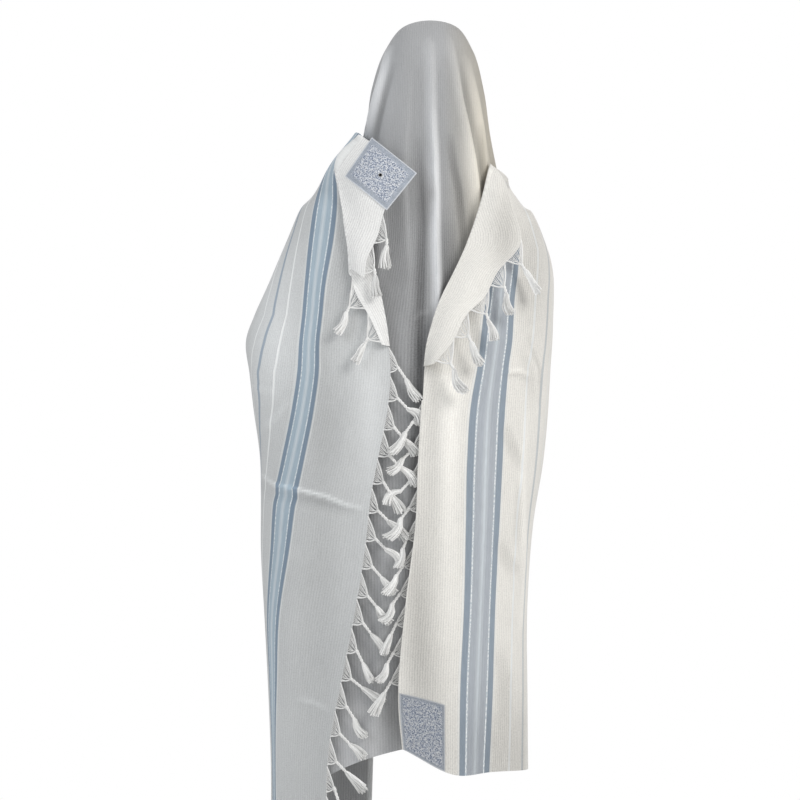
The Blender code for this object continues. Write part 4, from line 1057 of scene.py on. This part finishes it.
class Finish:
    """A material in the making: any node comes from node(), and it ends with a Principled shader."""

    def __init__(self, name, sheen=0.0):
        self.material = bpy.data.materials.new(name)
        self.material.use_nodes = True
        self.tree = self.material.node_tree
        self.shader = self.tree.nodes["Principled BSDF"]
        self.shader.inputs["Sheen Weight"].default_value = sheen
        self.shader.inputs["Specular IOR Level"].default_value = 0.25

    def node(self, kind, settings, sockets, output=0):
        """A node with its settings, then the values or links of its sockets, read at one output."""
        made = self.tree.nodes.new(kind)
        for name, value in settings.items():
            setattr(made, name, value)
        for name, value in sockets.items():
            if isinstance(value, Shade):
                self.tree.links.new(value.socket, made.inputs[name])
            else:
                made.inputs[name].default_value = value
        return Shade(self, made.outputs[output])

    def cut(self):
        """Distances from the fringed edge and from the top edge, in centimetres."""
        place = self.node("ShaderNodeUVMap", {"uv_map": "cut"}, {})
        return [self.node("ShaderNodeSeparateXYZ", {}, {0: place}, axis) * 100 for axis in (0, 1)]

    def painted_shading_attribute(self):
        return self.node("ShaderNodeAttribute", {"attribute_name": "painted_shading"}, {}, "Fac")

    def place(self):
        return self.node("ShaderNodeTexCoord", {}, {}, "Object")

    def vector(self, x, y, z=0.0):
        return self.node("ShaderNodeCombineXYZ", {}, {0: x, 1: y, 2: z})

    def noise(self, vector, scale, detail=2.0):
        sockets = {"Vector": vector, "Scale": scale, "Detail": detail, "Roughness": 0.5}
        return self.node("ShaderNodeTexNoise", {"noise_dimensions": "3D"}, sockets)

    def mix(self, under, over, share, blend="MIX"):
        """One colour over another."""
        return self.node("ShaderNodeMix", {"data_type": "RGBA", "blend_type": blend}, {0: share, 6: under, 7: over}, 2)

    def tint(self, colour, factor):
        """A colour made lighter or darker by a number."""
        return self.mix(colour, self.vector(factor, factor, factor), 1.0, "MULTIPLY")

    def done(self, colour, roughness, height, distance):
        bump = self.node("ShaderNodeBump", {}, {"Height": height, "Distance": distance, "Strength": 1.0})
        for name, value in (("Base Color", colour), ("Roughness", roughness), ("Normal", bump)):
            self.tree.links.new(value.socket, self.shader.inputs[name])
        return self.material


def woven(name, tone, rib_depth_and_shade, painted_warm_light=None, band=(PALE_BLUE, MID_WHITE, SLATE_BLUE), thin=0.75):
    """The ribbed wool with its blue band, silver threads and satin lines, in its piece's tone of painted light and
    shade, with painted warm light to the right where that is given.
    """
    cloth = Finish(name, sheen=0.15)
    across, down = cloth.cut()

    def grained(wide, high, detail=1.0):
        return cloth.noise(cloth.vector(across * wide, down * high), 1.0, detail)

    painted_shading = cloth.painted_shading_attribute()
    grain = grained(3.0, 0.45, 3.0) - 0.5
    fine = grained(5.0, 4.0) - 0.5
    wander = grained(0.2, 0.25) - 0.5
    cloud = cloth.noise(cloth.place(), 9.0) - 0.5
    # the ribs' wave gives their relief, and also paints shade in their valleys where it darkens the colour
    rib = (across + wander * 0.1).waves(RIB)
    yarn = (across * (2 * math.pi / YARN)).sine() * (down * (2 * math.pi / YARN)).sine()
    # painted warm light: the tone turns warmer to the right of the spine, on the side the warm key light falls on
    if painted_warm_light:
        beside_spine = cloth.node("ShaderNodeSeparateXYZ", {}, {0: cloth.place()}, 0)
        tone = cloth.mix(tone, painted_warm_light, beside_spine.ramp(*PAINTED_WARM_FROM))
    uneven = grain * 0.16 + fine * 0.34 + cloud * 0.10
    # the piece's tone with the attribute's painted light and shade, painted shade in the ribs' valleys, and random
    # unevenness
    colour = cloth.tint(tone, painted_shading + rib * rib_depth_and_shade + (1 - rib_depth_and_shade) + uneven)
    low, high = BAND
    # from, to, dye, how strong
    lines = (
        (low, high, band[0], 1.0),
        (low + 2.45, high - 2.45, band[1], 0.75),
        (low + 2.8, low + 3.15, PALE_THREAD, 0.6),
        (low, low + BAND_EDGE, band[2], 1.0),
        (high - BAND_EDGE, high, band[2], 1.0),
        (low - 0.4, low - 0.1, SATIN_WHITE, 0.5),
        (high + 0.1, high + 0.4, SATIN_WHITE, 0.4),
        (*SATIN_LINE, SATIN_WHITE, 1.0),
        (26.0, 26.7, SLATE_BLUE, thin),
        (29.4, 29.8, SATIN_WHITE, 0.8),
    )
    # each stripe's dye also takes the painted light and shade, and the ribs' painted shade
    for start, end, dye, share in lines:
        dyed = cloth.tint(dye, painted_shading * 0.8 + grain * 0.22 + (1 - rib_depth_and_shade * 0.3) + rib * rib_depth_and_shade * 0.3)
        colour = cloth.mix(colour, dyed, across.band(start, end, 0.12) * share)
    silver = cloth.mix(ink(196, 208, 216), ink(244, 247, 248), grained(6.0, 2.4).ramp(0.42, 0.56))
    for start in (low + 1.12, high - 1.36):
        colour = cloth.mix(colour, silver, across.band(start, start + 0.24, 0.08))
    selvedge = down.ramp(0.5, 0.3).most(down.ramp(135.5, 135.7))
    height = rib * rib_depth_and_shade * 3 + yarn * 0.12 + grain * 0.5 + selvedge * 0.4
    rough = 0.86 - across.band(SATIN_LINE[0] - 0.1, SATIN_LINE[1] + 0.05, 0.1) * 0.25
    return cloth.done(colour, rough, height, 0.0005)


def brocade(name, size, shade, border_wide):
    """A corner patch: small whitish curls on silver blue, inside a plainer border with a whipped edge, darkened by a
    factor that paints shade on the low patches.
    """
    patch = Finish(name, sheen=0.1)
    across, down = patch.cut()
    flat = patch.vector(across, down)
    edge = across.least(size[0] - across).least(down.least(size[1] - down))
    bend = patch.noise(flat, 3.2) - 0.5
    field = patch.vector(across + bend * 0.6, down + bend * -0.5)
    cell = patch.node("ShaderNodeTexVoronoi", {"feature": "F1"}, {"Vector": field, "Scale": 3.0})
    curl = (cell - 0.30).size().ramp(0.16, 0.06)
    fleck = patch.noise(flat, 5.0, 1.0)
    worn = patch.noise(flat, 1.6, 3.0)
    speck = patch.noise(flat, 9.0, 1.0)
    twill, stitch = ((across + down).waves(pitch) for pitch in (TWILL, WHIP_STITCH))
    inner = patch.mix(FIELD_BLUE, FLECK_BLUE, fleck.ramp(0.52, 0.42))
    inner = patch.mix(inner, MOTIF_WHITE, curl.most(fleck.ramp(0.55, 0.62)))
    border = patch.mix(BORDER_BLUE, FIELD_BLUE, twill * 0.35 + worn.ramp(0.4, 0.75) * 0.5)
    border = patch.mix(border, MOTIF_WHITE, speck.ramp(0.52, 0.62) * 0.45)
    inside = edge.ramp(border_wide, border_wide + 0.2)
    whip = edge.ramp(0.24, 0.14)
    colour = patch.mix(border, inner, inside)
    colour = patch.mix(colour, patch.mix(BORDER_BLUE, MOTIF_WHITE, stitch * 0.5 + 0.5), whip)
    # shade is a factor of painted shade, darker for the low patches; worn is random wear
    colour = patch.tint(colour, worn * 0.1 + (shade - 0.05))
    relief = curl * inside * 0.8 + twill * 0.25 + whip * (stitch * 0.5 + 0.6)
    return patch.done(colour, 0.62 - curl * inside * 0.15, relief, 0.0006)


def wool_thread(name):
    """White fringe wool, plied and a little uneven, with painted shade in the grooves between the plies and each
    strand's painted tone.
    """
    wool = Finish(name, sheen=0.5)
    across, down = wool.cut()
    ply = (down + across).waves(PLY)
    mottle = wool.noise(wool.place(), 160.0)
    # ply crests lighter and grooves darker: painted shade between the plies; the attribute adds each strand's painted
    # shade
    colour = wool.tint(THREAD_WHITE, wool.painted_shading_attribute() + ply * 0.06 + 0.9 + mottle * 0.08)
    return wool.done(colour, 0.85 - ply * 0.05, ply, 0.0002)


def mottled(name, tone, scale, shades, roughness):
    """A plain colour, faintly uneven: the floor's paint, and the painted shade that stands for the eyelet's hole."""
    plain = Finish(name)
    mottle = plain.noise(plain.place(), scale)
    colour = plain.tint(tone, mottle.between(*shades))
    return plain.done(colour, mottle.between(*roughness), mottle, 0.0001)


# ---- pieces ----


def make_middle(cloth):
    """The middle of the cloth, over the head and down the back, from one front fold to the other."""
    stops = [*HOOD_REACH, *stops_of(LOWER)]
    rows = np.concatenate([half_rows(-1)[:, :0:-1], half_rows(1)], axis=1)
    from_spine = np.abs(np.arange(rows.shape[1] - 1) - rows.shape[1] / 2 + 1)
    places = fine_places(rows, np.where(from_spine < BACK_GUIDES, BACK_SPACING, FRONT_SPACING))
    middle = stretch_from(rows, stops, places, -1, ROW_SPACING)
    middle.across = MIDDLE_FROM + places * GUIDE_WARP
    middle.drape(MIDDLE_FOLDS, MIDDLE_PAINTED_SHADING)
    middle.piece("shawl_middle", cloth)


def make_left(cloth, turned, wool):
    """The left flap, its pleat, the corner laid over it, which is returned, and their fringe."""
    flap = flap_stretch(-1, LEFT_FLAP)
    flap.drape(LEFT_CREASES, LEFT_PAINTED_SHADING)
    flap.piece("left_wrap", cloth)
    fringe("fringe_left", flap, flap.runs >= LEFT_PLEAT[-1][0], wool)

    rows = leg_rows(LEFT_PLEAT, WALL + SEAM, STAND_PLEAT)
    pleat = stretch_from(rows, stops_of(LEFT_PLEAT), fine_places(rows, PLEAT_SPACING), -1)
    widths = across_rows(pleat.points)
    fold = np.interp(pleat.runs, flap.runs, flap.across[:, 0])[:, None]
    pleat.across = np.maximum(fold - (widths[:, -1:] - widths), 0)
    fringe("fringe_left_pleat", pleat, pleat.runs >= LEFT_CORNER[-1][0], wool)
    pleat.rolled(flap.underside(pleat.runs)).piece("left_pleat_cloth", turned)

    rows = leg_rows(LEFT_CORNER, STAND_PLEAT + WALL + SEAM, STAND_CORNER)
    runs = fine_runs(*CORNER_RUNS, SPACING)
    points = grid_between(rows, stops_of(LEFT_CORNER), runs, np.linspace(CORNER_FROM, 2, CORNER_COLUMNS))
    corner = Stretch(points, normals(points), runs, np.minimum(across_rows(points) + EDGE_WARP, CORNER_WARP))
    share = np.clip((runs - pleat.runs[0] + 1) / 2, 0, 1)[:, None]
    meets = flap.underside(runs) * (1 - share) + pleat.underside(runs) * share
    fringe("fringe_left_corner", corner, runs >= CORNER_FREE, wool)
    corner.rolled(meets).piece("left_corner_cloth", turned)
    return corner


def make_right(cloth, wool):
    """The right flap, its lapel, its turned-in edge, and their fringe."""
    flap = flap_stretch(1, RIGHT_FLAP)
    flap.drape(RIGHT_CREASES, RIGHT_PAINTED_SHADING)
    flap.piece("right_wrap", cloth)

    rows = leg_rows(RIGHT_LAPEL, WALL + SEAM, STAND_LAPEL)
    lapel = stretch_from(rows, stops_of(RIGHT_LAPEL), np.linspace(0, 2, LAPEL_COLUMNS), 1)
    lapel.across = across_rows(lapel.points) + EDGE_WARP
    fringe("fringe_right_lapel", lapel, lapel.runs >= LAPEL_FREE, wool)
    lapel = lapel.rolled(flap.underside(lapel.runs))
    lapel.painted_shading = painted_shading_places(lapel.points, lapel.outward, LAPEL_PAINTED_SHADING)
    lapel.piece("right_lapel_cloth", cloth)

    tuck = stretch_from(tuck_rows(TUCK, RIGHT_FLAP), stops_of(TUCK), np.linspace(0, 2, TUCK_COLUMNS), 1)
    tuck.points = tuck.points + tuck.outward * THIN
    widths = across_rows(tuck.points)
    tuck.across = widths[:, -1:] - widths + EDGE_WARP
    fringe("fringe_right_tuck", tuck, tuck.runs <= TUCK_FREE, wool, -1)
    over = at_runs(flap.points[:, 0], flap.runs, tuck.runs)
    tuck.rolled(over, 0).piece("right_tuck_cloth", cloth)


def laid_on(base, corners):
    """A grid over four corners in x and z, first along the cloth's top edge, at the depth of the stretch beneath."""
    steps = np.linspace(0, 1, PATCH_COLUMNS)
    across, down = (grid[..., None] for grid in np.meshgrid(steps, steps))
    first, second, third, fourth = np.array(corners, float)
    flat = (first * (1 - across) + second * across) * (1 - down) + (fourth * (1 - across) + third * across) * down
    points, outward = base.points.reshape(-1, 3), base.outward.reshape(-1, 3)
    nearest = ((flat[..., None, :] - points[:, [0, 2]]) ** 2).sum(axis=-1).argmin(axis=-1)
    point, face = points[nearest], outward[nearest]
    off = flat - point[..., [0, 2]]
    deep = point[..., 1] - (off * face[..., [0, 2]]).sum(axis=-1) / face[..., 1]
    return np.dstack([flat[..., 0], deep, flat[..., 1]])


def make_patch(name, node, points, lift, shade, border_wide):
    """A brocade patch on a grid of its piece's points, facing backwards."""
    outward = normals(points)
    outward = outward * -np.sign(outward[..., 1:2])
    across, down = cumulative(points[len(points) // 2]), cumulative(points[:, points.shape[1] // 2])
    finish = brocade(name + "_brocade", (across[-1], down[-1]), shade, border_wide)
    points = points + outward * lift
    piece = shell(name, points, outward, np.dstack(np.meshgrid(across, down)), PATCH_WALL, finish)
    dressed(piece, "corner_brocade", node)
    return points, outward


def grown_patch(name, node, rows, table, place, lift):
    """A patch in its piece's own rows and columns, whose top edge may slant."""
    span, reach, slant = place
    runs = fine_runs(*span, PATCH_SPACING)
    points = grid_between(rows, stops_of(table), runs, np.linspace(0, reach, PATCH_COLUMNS))
    steps = np.linspace(1, 0, len(runs))
    for column, share in enumerate(np.linspace(0, 1, PATCH_COLUMNS)):
        points[:, column] = at_runs(points[:, column].copy(), runs, runs + slant * share * steps)
    make_patch(name, node, points, lift, LOW_PATCH_SHADE, LOW_BORDER)


def make_patches(corner, wool):
    """The four corner patches, one of them hidden under the lapel, and the worked hole of the one that shows most."""
    lift = SEAM + PATCH_WALL
    high = laid_on(corner, HIGH_PATCH)
    make_eyelet(*make_patch("left_high_patch", "patch_left_high", high, lift, HIGH_PATCH_SHADE, HIGH_BORDER), wool)
    lapel = leg_rows(RIGHT_LAPEL, WALL + SEAM, STAND_LAPEL)
    grown_patch("left_low_patch", "patch_left_low", flap_rows(-1, LEFT_FLAP), LEFT_FLAP, LEFT_LOW, lift)
    grown_patch("right_low_patch", "patch_right_low", flap_rows(1, RIGHT_FLAP), RIGHT_FLAP, RIGHT_LOW, lift)
    grown_patch("right_high_patch", "patch_right_high", lapel, RIGHT_LAPEL, RIGHT_HIGH, -WALL - SEAM)


def make_eyelet(points, outward, wool):
    """The worked hole in the middle of a corner patch: a whipped ring round a near-black disc, painted shade that
    stands for the hole.
    """
    row, column = len(points) // 2, points.shape[1] // 2
    centre, face = points[row, column], outward[row, column]
    aside = unit(points[row, column + 1] - points[row, column])
    inner, outer = EYELET
    ring, hole = Threads(), Threads()
    for spoke in circle(aside, np.cross(face, aside), 2 * math.pi * np.arange(EYELET_STITCHES) / EYELET_STITCHES):
        bow = ((inner, 0.02), ((inner + outer) / 2, 0.07), (outer, 0.01))
        ring.add([centre + spoke * out + face * high for out, high in bow], STITCH, STRAY_SIDES)
    dressed(ring.made("eyelet_stitches", wool), "fringe_thread")
    hole.add([centre - face * 0.03, centre + face * 0.012], inner, HOLE_SIDES)
    # the hole is a near-black disc: painted shade in place of an opening
    painted_hole_shade = mottled("eyelet_hole_painted_shade", ink(14, 15, 18), 300.0, (0.9, 1.1), (0.9, 0.85))
    dressed(hole.made("eyelet_hole_painted_shade", painted_hole_shade), "corner_brocade")


# ---- stage ----


def add_light(name, place, target, size, watts, colour):
    lamp = bpy.data.lights.new(name, "AREA")
    lamp.shape = "DISK"
    lamp.size = size
    lamp.energy = watts
    lamp.color = colour
    made = bpy.data.objects.new(name, lamp)
    made.location = place
    aim = np.array(target) - np.array(place)
    pitch = math.atan2(math.hypot(aim[0], aim[1]), -aim[2])
    made.rotation_euler = (pitch, 0, math.atan2(-aim[0], aim[1]))
    bpy.context.scene.collection.objects.link(made)


def make_stage():
    for light in LIGHTS:
        add_light(*light)
    world = bpy.data.worlds.new("pale_room")
    world.use_nodes = True
    background = world.node_tree.nodes["Background"]
    background.inputs["Color"].default_value = ROOM_COLOUR
    seen = world.node_tree.nodes.new("ShaderNodeLightPath")
    strength = world.node_tree.nodes.new("ShaderNodeMapRange")
    strength.inputs["To Min"].default_value = ROOM_LIGHT
    strength.inputs["To Max"].default_value = ROOM_SHOWN
    world.node_tree.links.new(seen.outputs["Is Camera Ray"], strength.inputs["Value"])
    world.node_tree.links.new(strength.outputs["Result"], background.inputs["Strength"])
    bpy.context.scene.world = world
    bpy.context.scene.view_settings.view_transform = "Standard"
    bpy.ops.mesh.primitive_plane_add(size=FLOOR_SIZE, location=(0, 0, FLOOR_Z))
    floor = bpy.context.object
    floor.name = "floor"
    floor.data.materials.append(mottled("floor_paint", ink(236, 236, 235), 2.0, (0.98, 1.0), (0.8, 0.78)))
    lens = bpy.data.cameras.new("view")
    lens.lens = lens.sensor_width * CAMERA_DISTANCE / FRAME_WIDTH
    camera = bpy.data.objects.new("view", lens)
    camera.location = (FRAME_X, -CAMERA_DISTANCE, FRAME_Z)
    camera.rotation_euler = (math.pi / 2, 0, 0)
    bpy.context.scene.collection.objects.link(camera)
    bpy.context.scene.camera = camera


def main():
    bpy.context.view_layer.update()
    wool = wool_thread("fringe_wool")
    # each piece's wool gets its painted tone: shade for the left flap and the middle, light for the turned corner and
    # the right flap
    left_face = woven("left_shaded_wool", LEFT_SHADED_TONE, rib_depth_and_shade=0.09)
    turned_face = woven("turned_lit_wool", TURNED_LIT_TONE, rib_depth_and_shade=0.15)
    make_middle(woven("outer_shaded_wool", OUTER_SHADED_TONE, rib_depth_and_shade=0.13, painted_warm_light=OUTER_PAINTED_WARM_LIGHT))
    corner = make_left(left_face, turned_face, wool)
    make_right(woven("right_lit_wool", RIGHT_LIT_TONE, rib_depth_and_shade=0.12, band=RIGHT_BAND, thin=0.42), wool)
    make_patches(corner, wool)
    make_stage()


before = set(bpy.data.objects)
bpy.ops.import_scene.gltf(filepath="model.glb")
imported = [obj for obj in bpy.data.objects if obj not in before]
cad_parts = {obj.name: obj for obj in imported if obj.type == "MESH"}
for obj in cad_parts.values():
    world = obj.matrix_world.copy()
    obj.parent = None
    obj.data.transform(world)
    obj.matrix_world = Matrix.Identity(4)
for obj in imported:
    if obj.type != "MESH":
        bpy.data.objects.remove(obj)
main()
